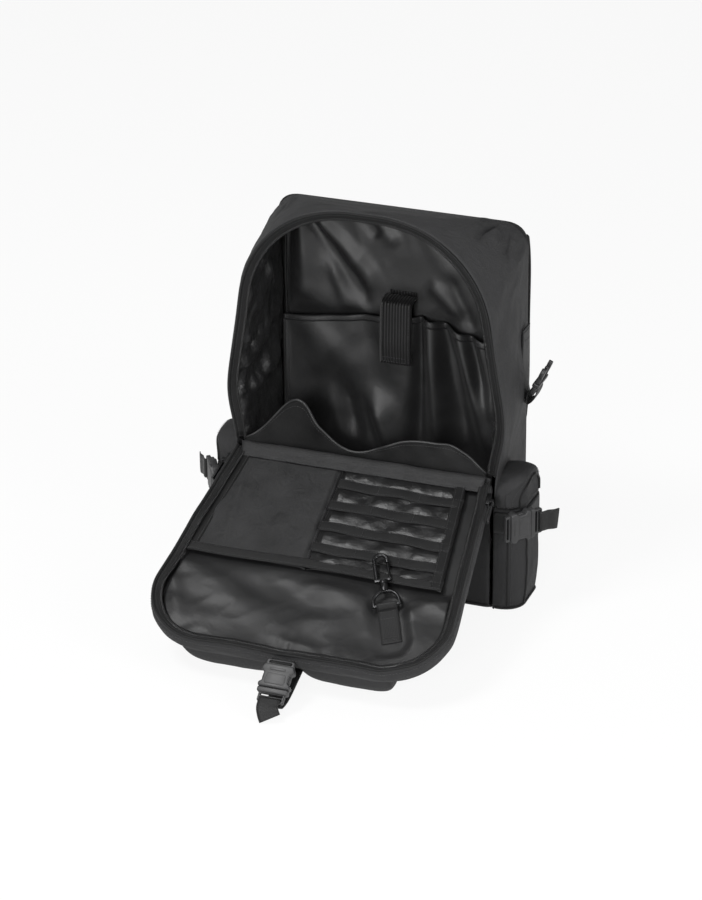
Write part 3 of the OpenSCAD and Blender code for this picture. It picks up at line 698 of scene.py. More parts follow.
# ---------------------------------------------------------------- back lining, piping and sleeve
def back_hw(z):
    z = np.asarray(z, float)
    r = BACK_R - 4
    top = BACK_H - 6
    q = np.clip(z - (top - r), 0, r)
    return 139.0 - (r - np.sqrt(np.maximum(r * r - q * q, 0)))


zz = np.linspace(6, 404, 120)
tt = np.linspace(-1, 1, 96)
X = tt[None, :] * back_hw(zz)[:, None]
Z = np.repeat(zz[:, None], 96, 1)


def back_lining_push(x, z):
    p = 2.5 * crumple(x, z, 60, 41) + 1.0 * noise2(x, z, 26, 42)
    for a, b, w0, w1, h in (
        ((-117, 398), (-112, 290), 6, 22, 9.0), ((-112, 396), (-40, 300), 3.5, 8, -8.0),
        ((-104, 398), (-22, 318), 6, 12, 5.5),
        ((-50, 402), (-26, 380), 4, 7, -6.0), ((-40, 402), (-4, 372), 6, 9, 4.0), ((-18, 345), (4, 308), 5, 8, 3.5),
        ((-132, 384), (-134, 288), 3, 4, -5.0), ((36, 330), (70, 296), 8, 8, 4.0), ((60, 336), (86, 280), 5, 7, -3.0),
        ((86, 380), (110, 300), 7, 9, 4.5), ((98, 378), (124, 290), 4, 6, -4.0), ((20, 398), (60, 340), 6, 14, 3.0),
        ((-80, 330), (-60, 286), 6, 9, 3.0), ((112, 330), (128, 276), 5, 6, 5.0)):
        p = p + fold(x, z, a, b, w0, w1, h)
    edge = step(139 - np.abs(x), 0, 10) * step(z, 6, 20) * (1 - step(z, 394, 404))
    flat = 1 - np.exp(-((x - 3) / 30) ** 4 - ((z - 322) / 30) ** 4)
    return np.clip(p, -2.2, 14) * edge * step(z, 240, 300) * flat + 0.4 * edge


BL = np.stack([X, LINING_Y - 0.6 - back_lining_push(X, Z), Z], -1)
o = sheet("back_lining_cloth", BL, LINING, 0.8, facing(BL, 50, 50, (0, -1, 0)))
tag(o, "pack", "lining", "back_lining")
declare_sheet(o)

for s, n in ((-1, "left"), (1, "right")):
    z = np.linspace(6, 384, 90)
    x = s * (135.6 + 0.7 * np.sin(z / 23))
    path = np.stack([x, LINING_Y - 3.2 - 0.6 * np.sin(z / 31 + s), z], 1)
    o = tube(f"corner_piping_{n}", path, 1.9, TAPE, 10)
    if s < 0:
        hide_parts("corner_piping")
    tag(o, "pack", "tape")
    stitch("pack", path + np.array([-s * 2.6, -0.2, 0]), (0, -1, 0), 3.2, 2.2, 0.28, 0.0)


def sleeve_top(x):
    """The hem of the sleeve: highest right of the middle, and falling slowly to the left."""
    x = np.asarray(x, float)
    return 270 + 21 * np.exp(-(((x - 28) / np.where(x < 28, 130, 60)) ** 2))


def sleeve_push(x, z):
    p = 2.0 * noise2(x, z, 60, 51) + 0.8 * noise2(x, z, 22, 52)
    for a, b, w0, w1, h in (
        ((28, 300), (27, 120), 4.5, 13, -12.0), ((40, 292), (52, 110), 8, 14, 9.0),
        ((54, 292), (88, 130), 6, 20, -13.0), ((72, 286), (112, 130), 7, 13, 10.0),
        ((86, 282), (104, 214), 4, 8, -6.0), ((100, 278), (124, 150), 8, 10, 7.0),
        ((-44, 296), (-30, 240), 9, 14, -3.0), ((-18, 296), (-4, 236), 9, 12, 4.0),
        ((-28, 186), (-6, 120), 17, 24, 12.0), ((-34, 176), (-20, 124), 6, 8, -6.0),
        ((-62, 196), (-46, 140), 10, 14, -6.0), ((-80, 190), (-60, 120), 14, 18, 4.0),
        ((-118, 276), (-60, 220), 14, 26, 3.0)):
        p = p + fold(x, z, a, b, w0, w1, h, 0.35)
    edge = step(134 - np.abs(x), 0, 9) * step(z, 6, 30)
    return np.clip(p, -12.5, 15) * edge


tz = np.linspace(0, 1, 110)
xs = np.linspace(-134, 134, 130)
X = np.repeat(xs[None, :], 110, 0)
Z = 6 + (sleeve_top(xs)[None, :] - 6) * tz[:, None]
SL = np.stack([X, SLEEVE_Y - sleeve_push(X, Z), Z], -1)
side_s = facing(SL, 50, 50, (0, -1, 0))
o = sheet("sleeve_cloth", SL, LINING, 1.0, side_s)
tag(o, "pack", "lining", "sleeve_pocket")
declare_sheet(o)
NSL = grid_normals(SL) * side_s
hem = SL[-4:, :] + NSL[-4:, :] * 0.5
o = sheet("sleeve_hem", hem, LINING, 0.6, side_s)
tag(o, "pack", "tape")
stitch("pack", SL[-3] + NSL[-3] * 0.8, NSL[-3])
for s, n in ((-1, "left"), (1, "right")):
    z = np.linspace(10, 268, 60)
    x = np.full_like(z, s * 133.5)
    yy = np.full_like(z, SLEEVE_Y + 1)
    tag(tube(f"sleeve_side_{n}", np.stack([x, yy, z], 1), 2.0, TAPE, 8), "pack", "tape")
    stitch("pack", np.stack([x - s * 5, np.full_like(z, SLEEVE_Y - 1.0), z], 1), (0, -1, 0), 3.2)

# strap over the sleeve
zf = 310.0
path = spline([(3, 53.6, zf), (3, 49, zf + 0.5), (3, 41, zf + 0.2), (3, 35.2, zf - 2.2), (3, 33.6, zf - 10),
    (3, 32.4, zf - 30), (3, 31.5, zf - 52), (3, 32.6, zf - 74)], 60)
tag(band("sleeve_strap_web", path, (1, 0, 0), 37.0, 2.6, RIBBED, 0.3, 10), "sleeve_strap", "webbing", "sleeve_strap")
for q in (-15.5, 15.5):
    stitch("sleeve_strap", path[12:] + np.array([q, -1.5, 0]), (0, -1, 0), 3.2)
xx = np.linspace(-15, 15, 20)
for z in (zf - 71, zf - 66):
    stitch("sleeve_strap", np.stack([3 + xx, np.full_like(xx, 30.6), np.full_like(xx, z)], 1), (0, -1, 0), 3.0)
P = np.stack(np.meshgrid(np.linspace(-14, 20, 14), np.linspace(301, 315, 10), indexing="ij"), -1)
PP = np.stack([P[..., 0], np.full(P.shape[:2], 56.3), P[..., 1]], -1)
o = sheet("sleeve_strap_patch_cloth", PP, RIBBED, 1.2, facing(PP, 3, 3, (0, -1, 0)))
tag(o, "pack", "webbing", "sleeve_strap_patch")
declare_sheet(o)

# ---------------------------------------------------------------- lip, lower front, base, back pad
# the slack edge rises in one tall fold left of the middle and one low fold to the right, and ends low on both sides
x = np.linspace(-144, 140, 240)
tall_fold = 52 * np.exp(-((x + 82) / 37) ** 2)
low_fold = 26 * np.exp(-(np.abs(x - 74) / 62) ** 3)
lip = resample(np.stack([x, 162 + (tall_fold + low_fold) * (1 - (np.abs(x + 2) / 142) ** 16)], 1), n=150)
rows = np.linspace(0, 1, 26)
P = np.zeros((150, 26, 3))
for j, r in enumerate(rows):
    z = 158 + (lip[:, 1] - 158) * r
    x = lip[:, 0]
    sway = 7.5 * np.exp(-((x + 92) / 26) ** 2) - 6 * np.exp(-((x + 58) / 13) ** 2) + 5 * np.exp(-((x
        - 95) / 34) ** 2) - 3 * np.exp(-((x + 10) / 30) ** 2)
    y = -58.6 + (sway + 1.6 * noise2(x, z, 17, 61)) * r ** 1.3 + 2.5 * r
    P[:, j] = np.stack([x, y, z], 1)
side_l = facing(P, 70, 10, (0, -1, 0))
# the lip is drawn in the darkened copy of the outer fabric: painted shade
o = sheet("front_lip_cloth", P, LIP_CLOTH_PAINTED_SHADE, 1.2, side_l)
tag(o, "pack", "outer_fabric", "front_lip")
declare_sheet(o)
NL = grid_normals(P) * side_l
# the binding uses the lighter satin lining instead of the tape: partly the satin's gloss, partly a painted highlight
# along the lip's edge
tag(tube("front_lip_binding", P[:, -1] + np.array([0, 0.5, 0.2]), 1.5, LINING, 8), "pack", "tape")
stitch("pack", P[:, -4] + NL[:, -4] * 0.2, NL[:, -4], 3.2, 2.2, 0.28)

xs = np.linspace(-146, 146, 70)
zs = np.linspace(4, 160, 44)
X, Z = np.meshgrid(xs, zs, indexing="ij")
bulge = 3.0 * np.sin(np.pi * (Z - 4) / 156) * (1 - (np.abs(X) / 146) ** 6) + 1.0 * noise2(X, Z, 36, 71)
P = np.stack([X, FRONT_Y - 0.4 - bulge, Z], -1)
o = sheet("lower_front_cloth", P, OUTER, 1.4, facing(P, 30, 20, (0, -1, 0)))
tag(o, "pack", "outer_fabric", "lower_front_wall")
declare_sheet(o)

ring = [(-150, FRONT_Y), (150, FRONT_Y), (146, BACK_Y + BOARD_T), (-146, BACK_Y + BOARD_T)]
xs, ys = np.linspace(-1, 1, 60), np.linspace(0, 1, 30)
A, B = np.meshgrid(xs, ys, indexing="ij")
X = A * (148.5 - 4 * B)
Y = FRONT_Y + 0.5 + B * 127
P = np.stack([X, Y, 1.2 + 0.35 * noise2(X, Y, 30, 75)], -1)
o = sheet("base_cloth", P, OUTER, 1.0, facing(P, 30, 15, (0, 0, -1)))
tag(o, "pack", "outer_fabric", "base_board")
declare_sheet(o)
tag(tube("base_piping", resample([(x, y, 3.0) for x, y in rounded(ring, 10, 6)], n=240, closed=True), 2.2, TAPE, 8,
    closed=True), "pack", "tape")


def crown_pad(name, hw, z0, z1, y0, thick, channels, mat, corner, amp):
    """Padded panel: flat in front at y0, crowned at the back, with sewn channels."""
    A, B = np.meshgrid(np.linspace(-1, 1, 90), np.linspace(-1, 1, 110), indexing="ij")
    zc, hz = (z0 + z1) / 2, (z1 - z0) / 2
    X, Z = A * hw, zc + B * hz
    cut = np.clip(np.abs(Z - zc) - (hz - corner), 0, corner)
    lim = hw - (corner - np.sqrt(np.maximum(corner ** 2 - cut ** 2, 0)))
    X = A * lim
    e = (1 - np.abs(A) ** 14) ** 0.5 * (1 - np.abs(B) ** 18) ** 0.5
    d = thick * e + amp * (1 - 0.8 * step(Z, 330, 356)) * e * np.clip(np.cos(X / 62.0 * np.pi / 2), 0,
        1) ** 0.5 * (np.abs(X) < 62)
    for kind, at in channels:
        q = (X if kind == "x" else Z) - at
        inside = (np.abs(X) < 60) if kind == "z" else 1.0
        d = d - 2.4 * np.exp(-(q / 3.0) ** 2) * inside
    front = np.stack([X, np.full_like(X, y0), Z], -1)
    back = np.stack([X, y0 + np.maximum(d, 0.3) + 0.25 * noise2(X, Z, 22, 81), Z], -1)
    V = np.concatenate([back.reshape(-1, 3), front.reshape(-1, 3)])
    uv = np.concatenate([np.stack([X, Z], -1).reshape(-1, 2)] * 2)
    return add(name, V, skin_faces(*A.shape, -1), mat, uv), back


o, BP = crown_pad("back_pad", 145.5, 2, 410, BACK_Y, 7.4, [("x", -62), ("x", 62), ("z", 120), ("z", 190), ("z", 260),
    ("z", 330)], MESH, 24, 3.0)
tag(o, "pack", "padding", "back_board", pad=0.7)
edge_loop = resample([(x, BACK_Y + 1.6, z) for x,
    z in rounded([(-145.4, 3), (145.4, 3), (145.4, 410.4), (-145.4, 410.4)], 26, 10)], n=300, closed=True)
tag(tube("back_piping", edge_loop, 2.0, TAPE, 8, closed=True), "pack", "tape")
for i in (26, 63):
    stitch("pack", BP[i, 4:-4] + np.array([0, 0.3, 0]), (0, 1, 0))


# ---------------------------------------------------------------- front panel
def panel_hw(u):
    return PANEL_W / 2 + (PANEL_END_W - PANEL_W) / 2 * np.minimum(1, np.asarray(u, float) / (PANEL_L - PANEL_R))


def panel_half(i):
    return [(-panel_hw(3.4) + i, -3.4 - i)] + arc(-PANEL_END_W / 2 + PANEL_R, -PANEL_L + PANEL_R, PANEL_R - i, 180,
        268, 9)


def outline(i, rounds=10):
    """Left end of the hinge side, round the free end, to the right end of the hinge side: x and u."""
    p = dense(mirrored(panel_half(i)), [40] + [5] * 9 + [44] + [5] * 9 + [40])
    p = soften(p, rounds)
    return np.stack([p[:, 0], -p[:, 1]], 1)


O0 = outline(0)
n_o = len(O0)
s_o = run(O0)
to = unit(np.gradient(O0, axis=0))
OIN = np.stack([to[:, 1], -to[:, 0]], 1)
if (OIN[n_o // 2] @ np.array([0, 1.0])) > 0:
    OIN = -OIN
SAG = 2.0 * noise2(s_o, 0 * s_o, 62, 91) + 1.0 * noise2(s_o, 0 * s_o, 23, 92)


def rim_sheet(name, profile, rows, mat, thick, at, toward, seed, amp):
    """Sheet along the panel's outline. profile is a list of (inset, n) from the top down."""
    prof = resample(profile, n=rows)
    P = np.zeros((n_o, rows, 3))
    for j, (inset, n) in enumerate(prof):
        w = math.sin(math.pi * j / (rows - 1))
        ins = inset + w * amp * noise2(s_o, np.full(n_o, j * 4.0), 15, seed)
        ins = ins + w * amp * 0.7 * crumple(s_o, np.full(n_o, j * 6.0), 27, seed + 1)
        xu = O0 + OIN * ins[:, None]
        P[:, j] = pan(xu[:, 0], xu[:, 1], n + SAG * (1 - 0.6 * j / (rows - 1)))
    return sheet(name, P, mat, thick, facing(P, n_o // 2, at, toward)), P


prof_out = [(0.6, 1.0), (-0.4, -1.2), (-1.6, -4), (-2.2, -7), (-2.2, -10), (-1.8, -13), (-1.0, -15.5), (0.2, -17.4)]
o, PR = rim_sheet("panel_gusset", prof_out, 14, OUTER_SOFT, 1.4, 5, (0, -1, 0), 101, 0.7)
tag(o, "front_panel", "outer_fabric", "panel_rim")
declare_sheet(o)
NR = grid_normals(PR) * facing(PR, n_o // 2, 5, (0, -1, 0))
stitch("front_panel", PR[:, 3] + NR[:, 3] * 0.25, NR[:, 3])
NUP = np.array(xform(ON_PANEL, [(0, 0, 1)])[0] - xform(ON_PANEL, [(0, 0, 0)])[0])
xu = O0 + OIN * 1.4
tag(tube("panel_piping", pan(xu[:, 0], xu[:, 1], 1.4 + SAG), 1.6, TAPE, 10), "front_panel", "tape")
P = np.zeros((n_o, 7, 3))
for j, r in enumerate(np.linspace(2.0, 10, 7)):
    xu = O0 + OIN * (r + 0.5 * noise2(s_o, 0 * s_o, 19, 95))[:, None]
    P[:, j] = pan(xu[:, 0], xu[:, 1], 1.6 - 0.4 * r + SAG + 0.5 * noise2(s_o, 0 * s_o + r, 14, 96) * r / 11)
sd = facing(P, n_o // 2, 3, NUP)
o = sheet("panel_zip_tape", P, TAPE, 0.8, sd)
tag(o, "front_panel", "tape", "panel_zip")
tag(zip_teeth("panel_zip_coil", P[:, -1] + NUP * 0.4, NUP, COIL), "front_panel", "tape")
stitch("front_panel", P[:, 2] + NUP * 0.2, NUP, 2.8, 1.9, 0.26)
# inner gusset down to the floor
prof_in = [(8.5, -1.2), (8.0, -3.5), (7.5, -6.5), (7.2, -9.5), (8.0, -12.0), (11.0, -13.2)]
o, _ = rim_sheet("panel_inner_gusset", prof_in, 12, NYLON, 0.6, 4, (0, 1, 0), 111, 2.2)
tag(o, "front_panel", "lining")
declare_sheet(o)


def floor_push(x, u):
    p = 2.0 * noise2(x, u, 46, 121) + 2.6 * noise2(x + 0.5 * u, 1.8 * u - 0.6 * x, 52, 123)
    p = p + 2.2 * crumple(x + 0.35 * u, 1.5 * u, 58, 122)
    for a, b, w0, w1, h in (
        ((-150, 170), (-70, 200), 9, 16, 3.0), ((-40, 178), (40, 214), 8, 16, -2.5),
        ((10, 170), (80, 190), 10, 12, 2.5),
        ((100, 196), (158, 160), 7, 10, 3.0), ((-158, 186), (-132, 240), 6, 10, 2.5)):
        p = p + fold(x, u, a, b, w0, w1, h, 0.4)
    # short gathers where the cloth is sewn into the rim
    rim = np.minimum(269 - u, 164 - np.abs(x))
    s = np.arctan2(x, u - 150) * 150
    g = np.sin(s / 5.2 + 2.6 * noise2(s, 0 * s, 17, 124)) * (0.5 + 0.5 * noise2(s, 0 * s, 29, 125))
    p = p + 1.9 * g * np.exp(-np.maximum(rim, 0) / (11 + 5 * noise2(s, 0 * s, 21, 126)))
    p = p + 3.2
    p = np.where(p < 1.6, 1.6 * np.exp((p - 1.6) / 1.6), p)
    t = np.clip(((x - 88) * 19.1 + (u - 184) * 42.9) / 2205, 0, 1)
    d = np.hypot(x - 88 - 19.1 * t, u - 184 - 42.9 * t)
    p = p * (0.1 + 0.9 * step(d, 11, 26))
    return p * step(u, 148, 172)


A, B = np.meshgrid(np.linspace(-1, 1, 150), np.linspace(0, 1, 120), indexing="ij")
inner = outline(9.5, 6)
ul = np.linspace(8, inner[:, 1].max() - 0.5, 120)
left = inner[: n_o // 2 + 1]
hw_u = np.interp(ul, left[:, 1], -left[:, 0])
X = A * hw_u[None, :]
U = np.repeat(ul[None, :], 150, 0)
P = pan(X, U, FLOOR_N + 0.3 + floor_push(X, U) * step(hw_u[None, :] - np.abs(X), 0, 4) * step(ul[-1] - U, 0, 4))
sd = facing(P, 70, 60, NUP)
o = sheet("panel_floor_lining", P, FLOOR_SATIN_PAINTED_SHADE, 0.7, sd)
tag(o, "front_panel", "lining", "panel_lining")
declare_sheet(o)

# outer board of the panel
P = pan(A * (np.interp(ul, left[:, 1], -left[:, 0]) + 7.5)[None, :], 3.4 + (U - 8) * (PANEL_L - 6) / (ul[-1] - 8),
    -PANEL_D + 0.4)
sd = facing(P, 70, 60, -NUP)
o = sheet("panel_back", P, OUTER, 1.6, sd)
tag(o, "front_panel", "outer_fabric", "panel_board")
declare_sheet(o)


# inner pockets
def pocket_left_x(u):
    return -(panel_hw(u) - 7.5)


def pocket_right_x(u):
    return 121 + 0.115 * np.asarray(u, float)


def pocket_grid(xl, xr, nx, nu, u0=6.5, u1=152.0):
    A, B = np.meshgrid(np.linspace(0, 1, nx), np.linspace(0, 1, nu), indexing="ij")
    U = u0 + (u1 - u0) * B
    X = xl(U) + (xr(U) - xl(U)) * A
    return A, B, X, U


div = lambda u: -22.0 + 0.035 * np.asarray(u, float)
A, B, X, U = pocket_grid(pocket_left_x, lambda u: div(u) - 0.6, 90, 90)
h = 0.8 * noise2(X, U, 44, 131) + 0.45 * noise2(X, U, 19, 132)
h += fold(X, U, (-128, 40), (-118, 130), 5, 8, 1.4) + fold(X, U, (-100, 20), (-40, 60), 10, 16, 1.2) + fold(X, U,
    (-96, 120), (-60, 90), 9, 12, 1.3) + fold(X, U, (-70, 20), (-80, 110), 6, 9, -1.0)
seam = step(A, 0, 0.06) * (1 - step(A, 0.95, 1)) * step(B, 0, 0.05)
SP = pan(X, U, POCKET_TOP - 3.2 + (3.4 + h) * seam)
sd = facing(SP, 40, 40, NUP)
o = sheet("slip_pocket_cloth", SP, FLAT, 1.0, sd)
tag(o, "front_panel", "lining", "slip_pocket")
declare_sheet(o)


def row_u(k, x):
    """Middle of elastic row k: each one hangs a little between its tacks."""
    t = (np.asarray(x, float) + 20) / 144
    return (31, 61, 92, 122)[k] + 3.0 * t + 1.6 * np.sin(np.pi * np.clip(t * 2.0 + 0.35 * k, 0, 4)) ** 2


A, B, X, U = pocket_grid(lambda u: div(u) + 0.6, pocket_right_x, 150, 150)


def organizer_push(x, u):
    h = 0.5 * noise2(x, u, 21, 141) + 0.5 * noise2(x, u, 9, 142)
    # slack nylon puffs up between the rows
    for k, (a, b) in enumerate(((10, 24), (38, 54), (68, 85), (99, 115), (129, 142))):
        mid, half = (a + b) / 2 + 2, (b - a) / 2
        bump = np.exp(-(((u - mid - 3.0 * (x + 20) / 144) / (half * 0.85)) ** 2) ** 1.5)
        h = h + bump * (1.6 + 1.5 * noise2(x, u * 0.4, 13, 150 + k) + 0.9 * np.sin(x / 7.0 + k * 1.7))
    return h


hh = organizer_push(X, U)
seam = step(A, 0, 0.05) * (1 - step(A, 0.93, 1)) * step(B, 0, 0.04)
OP = pan(X, U, POCKET_TOP - 2.8 + (3.0 + hh) * seam)
sd = facing(OP, 40, 40, NUP)
o = sheet("organizer_cloth", OP, NYLON, 0.8, sd)
tag(o, "front_panel", "lining", "organizer_pocket")
declare_sheet(o)

for k in range(4):
    x = np.linspace(-19, 126 + k * 3.0, 110)
    um = row_u(k, x)
    lift = 1.1 + 0.9 * np.abs(np.sin(np.pi * (x + 19) / 48.5 + 0.4 * k)) + 0.4 * noise2(x, 0 * x + k * 40, 12, 160)
    Pn = []
    for q in np.linspace(-6.6, 6.6, 9):
        e = 1.0 - 0.25 * (q / 6.6) ** 2 + 0.35 * (q / 6.6) * np.abs(np.sin(np.pi * (x + 19) / 48.5 + 0.4 * k))
        Pn.append(pan(x, um + q, POCKET_TOP + 0.6 + lift * e))
    P = np.stack(Pn, 1)
    sd = facing(P, 50, 4, NUP)
    o = sheet(f"elastic_row_{k + 1}", P, ELASTIC, 1.1, sd)
    if k == 0:
        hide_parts("elastic_rows")
    tag(o, "front_panel", "webbing")
    declare_sheet(o)
    for j in (1, 7):
        stitch("front_panel", P[:, j] + NUP * 0.25, NUP, 3.0, 2.0, 0.26)
    for q in range(3):
        i = 2 + int(36 * (q + 0.95))
        if i < 108:
            stitch("front_panel", P[i, :] + NUP * 0.3, NUP, 2.2, 1.6, 0.3)


def ribbon(name, fa, fb, n, lift, rows=7, nodes=()):
    """Flat tape between two edges given as functions of a running value."""
    t = np.linspace(0, 1, n)
    a, b = fa(t), fb(t)
    P = np.stack([pan(a[0] * (1 - q) + b[0] * q, a[1] * (1 - q) + b[1] * q, POCKET_TOP + lift
        + 0.5 * noise2(t * 150, 0 * t, 25, 171) - 0.35 * (2 * q - 1) ** 6) for q in np.linspace(0, 1, rows)], 1)
    sd = facing(P, n // 2, rows // 2, NUP)
    o = sheet(name, P, TAPE, 0.9, sd)
    tag(o, "front_panel", "tape", *nodes)
    declare_sheet(o)
    for j in (1, rows - 2):
        stitch("front_panel", P[:, j] + NUP * 0.3, NUP, 3.0, 2.1, 0.28)
    return o


ur = lambda t: 9 + 143 * t
ribbon("pocket_ribbon_mouth", lambda t: (-157 + 296 * t, 141 + 0 * t + 1.2 * np.sin(t * 9)),
    lambda t: (-157.5 + 297 * t, 153 + 0 * t + 1.2 * np.sin(t * 9)), 150, 1.9, nodes=("pocket_ribbon",))
ribbon("pocket_ribbon_left", lambda t: (pocket_left_x(ur(t)), ur(t)), lambda t: (pocket_left_x(ur(t)) + 11, ur(t)),
    90, 1.2)
ribbon("pocket_ribbon_right", lambda t: (pocket_right_x(ur(t)) - 12, ur(t)), lambda t: (pocket_right_x(ur(t)), ur(t)),
    90, 2.4)
u = np.linspace(10, 150, 80)
for d in (-1.6, 1.8):
    stitch("front_panel", pan(div(u) + d, u, POCKET_TOP + 0.9), NUP, 3.0, 2.1, 0.3)

# fabric fold over the hinge
x = np.linspace(-142, 142, 90)
prof = spline([(-59.5, 157.0), (-60.5, 160.2), (-63, 162.3), (-66, 162.4), (-69, 160.6), (-71.5, 157.0),
    (-73.6, 152.6), (-76, 149.7)], 26)
P = np.zeros((90, 26, 3))
for j in range(26):
    r = math.sin(math.pi * j / 25)
    P[:, j] = np.stack([x, prof[j, 0] + 0.6 * r * noise2(x, 0 * x, 24, 181), prof[j, 1]
        + 1.0 * r * noise2(x, 0 * x + 9, 17, 182)], 1)
sd = facing(P, 40, 12, (0, 0, 1))
o = sheet("hinge_fold", P, FLAT, 0.8, sd)
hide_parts("hinge_tape")
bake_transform(o)


# outer pockets under the panel
def pillow(name, x0, x1, u0, u1, depth, mat, n0=-PANEL_D, power=5, seed=1, amp=1.0):
    """Stuffed pocket on the panel's outer face: depth(a, b) below the panel, with sides that round over."""
    A, B = np.meshgrid(np.linspace(-1, 1, 70), np.linspace(-1, 1, 90), indexing="ij")
    a, b = np.sin(A * np.pi / 2), np.sin(B * np.pi / 2)
    X, U = (x0 + x1) / 2 + a * (x1 - x0) / 2, (u0 + u1) / 2 + b * (u1 - u0) / 2
    e = np.maximum(1 - np.abs(a) ** power, 0) ** (1 / 2.6) * np.maximum(1 - np.abs(b) ** power, 0) ** (1 / 2.6)
    d = depth(X, U) * e
    d = d + e * amp * (1.2 * noise2(X, U, 38, seed) + 1.0 * crumple(X, U, 30, seed + 1) - 0.6)
    P = pan(X, U, n0 - d)
    sd = facing(P, 35, 45, -NUP)
    o = sheet(name, P, mat, 1.4, sd)
    return o, P, d


def floor_depth(u):
    return (HINGE_Z - 1.2 - u * math.sin(math.radians(SLOPE))) / math.cos(math.radians(SLOPE))


def low_depth(x, u):
    prof = np.interp(u, [26, 44, 100, 150, 172, 190, 204], [38, 60, 82, 100, 92, 78, 46])
    return np.minimum(prof, floor_depth(u) - PANEL_D - 0.2)


o, LP, _ = pillow("lower_outer_pocket_cloth", -130, 130, 26, 204, low_depth, OUTER, power=9, seed=191, amp=0.7)
tag(o, "front_panel", "outer_fabric", "lower_outer_pocket")
declare_sheet(o)
for s, n in ((-1, "left"), (1, "right")):
    o, _, _ = pillow(f"upper_outer_pocket_{n}", min(s * 15, s * 119), max(s * 15, s * 119), 206, 271, lambda x,
        u: np.minimum(np.interp(u, [206, 240, 272], [39, 42, 42]), floor_depth(u) - PANEL_D - 1.6), OUTER, power=6,
        seed=195 + s, amp=0.8)
    if s < 0:
        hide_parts("upper_outer_pocket")
    tag(o, "front_panel", "outer_fabric")
    declare_sheet(o)
# zip and piping on the lower pocket, seen when the panel is closed
for name, i in (("left", 9), ("right", -10)):
    path = LP[i, 6:-6]
    tag(tube(f"lower_pocket_piping_{name}", path, 1.8, TAPE, 8), "front_panel", "tape")
path = LP[9:-9, -9]
tag(tube("lower_pocket_piping_end", path, 1.8, TAPE, 8), "front_panel", "tape")
NLP = grid_normals(LP) * facing(LP, 35, 45, -NUP)
tag(zip_teeth("lower_pocket_zip", LP[10:-10, 74] + NLP[10:-10, 74] * 0.5, NLP[10:-10, 74], COIL), "front_panel",
    "tape")
for j in (72, 76):
    stitch("front_panel", LP[10:-10, j] + NLP[10:-10, j] * 0.3, NLP[10:-10, j])
AW = xform(ON_PANEL, [(0, 1, 0)])[0] - xform(ON_PANEL, [(0, 0, 0)])[0]
for k, j in enumerate((24, 33)):
    tag(band(f"lower_pocket_webbing_{k + 1}", LP[12:-12, j] + NLP[12:-12, j] * 0.7, AW, 24.0, 1.5, WEB),
        "front_panel", "webbing")
    for i in (16, 22, 28, 35, 41, 47, 53):
        q = np.linspace(-9.5, 9.5, 12)[:, None]
        stitch("front_panel", LP[i, j] + NLP[i, j] * 1.6 + q * AW, NLP[i, j], 2.6, 1.8, 0.34)

# ---------------------------------------------------------------- key clip
ON_CLIP0 = ON_PANEL @ T(88, -184, 0) @ R("Z", 24)
path = xform(ON_CLIP0, spline([(0, -47, FLOOR_N + 1.6), (0, -30, FLOOR_N + 1.9), (0, -12, FLOOR_N + 2.2),
    (0, -4.2, -10.5), (0, -3.2, -6.0), (0, 0, -2.0), (0, 3.2, -5.6), (0, 3.9, -9.5), (0, 1.0, -12.2),
    (0, -8, FLOOR_N + 1.6)], 70))
acr = np.array(xform(ON_CLIP0, [(1, 0, 0)])[0] - xform(ON_CLIP0, [(0, 0, 0)])[0])
tag(band("key_web_band", path, acr, 22.0, 1.3, WEB), "front_panel", "webbing", "key_web")
for q in (-44, -40, -14):
    xx = np.linspace(-9, 9, 14)
    stitch("front_panel", xform(ON_CLIP0, np.stack([xx, np.full_like(xx, q), np.full_like(xx, FLOOR_N + 2.7)], 1)),
        NUP, 2.6, 1.8, 0.3)


def metal_piece(n, width, segments):
    """A small piece that keeps its CAD shape, with its edges rounded."""
    ob = NODES[n]
    w = ob.modifiers.new("weld", "WELD")
    w.merge_threshold = 0.00002
    b = ob.modifiers.new("bevel", "BEVEL")
    b.width, b.segments, b.limit_method, b.angle_limit = width, segments, "ANGLE", math.radians(40)
    ob.data.materials.clear()
    ob.data.materials.append(METAL)


for n in ("key_ring", "key_hook", "key_gate"):
    metal_piece(n, 0.0003, 2)


# ---------------------------------------------------------------- buckles
def socket_parts():
    body = rounded([(-16, -26), (16, -26), (18, -22), (18, -18.5), (14.6, -16.5), (14.6, -6.5), (18, -4.5), (17.6, 0),
        (-17.6, 0), (-18, -4.5), (-14.6, -6.5), (-14.6, -16.5), (-18, -18.5), (-18, -22)], 2.2, 5)
    parts = [plate([body], 0.0, 10.0, 1.5)]
    rib = rounded([(-9, -22), (9, -22), (9, -19), (-9, -19)], 1.2, 4)
    parts.append(plate([rib], 9.2, 10.5, 0.5))
    face = rounded([(-10.5, -15.5), (10.5, -15.5), (11.5, -3.5), (-11.5, -3.5)], 2.5, 5)
    parts.append(plate([face], 9.4, 10.4, 0.45))
    frame_o = rounded([(-15, -32), (15, -32), (16, -25), (-16, -25)], 1.8, 4)
    hole = rounded([(-12.5, -30.2), (12.5, -30.2), (12.5, -27.6), (-12.5, -27.6)], 0.8, 3)
    parts.append(plate([frame_o, hole], 2.5, 7.5, 1.0))
    return parts


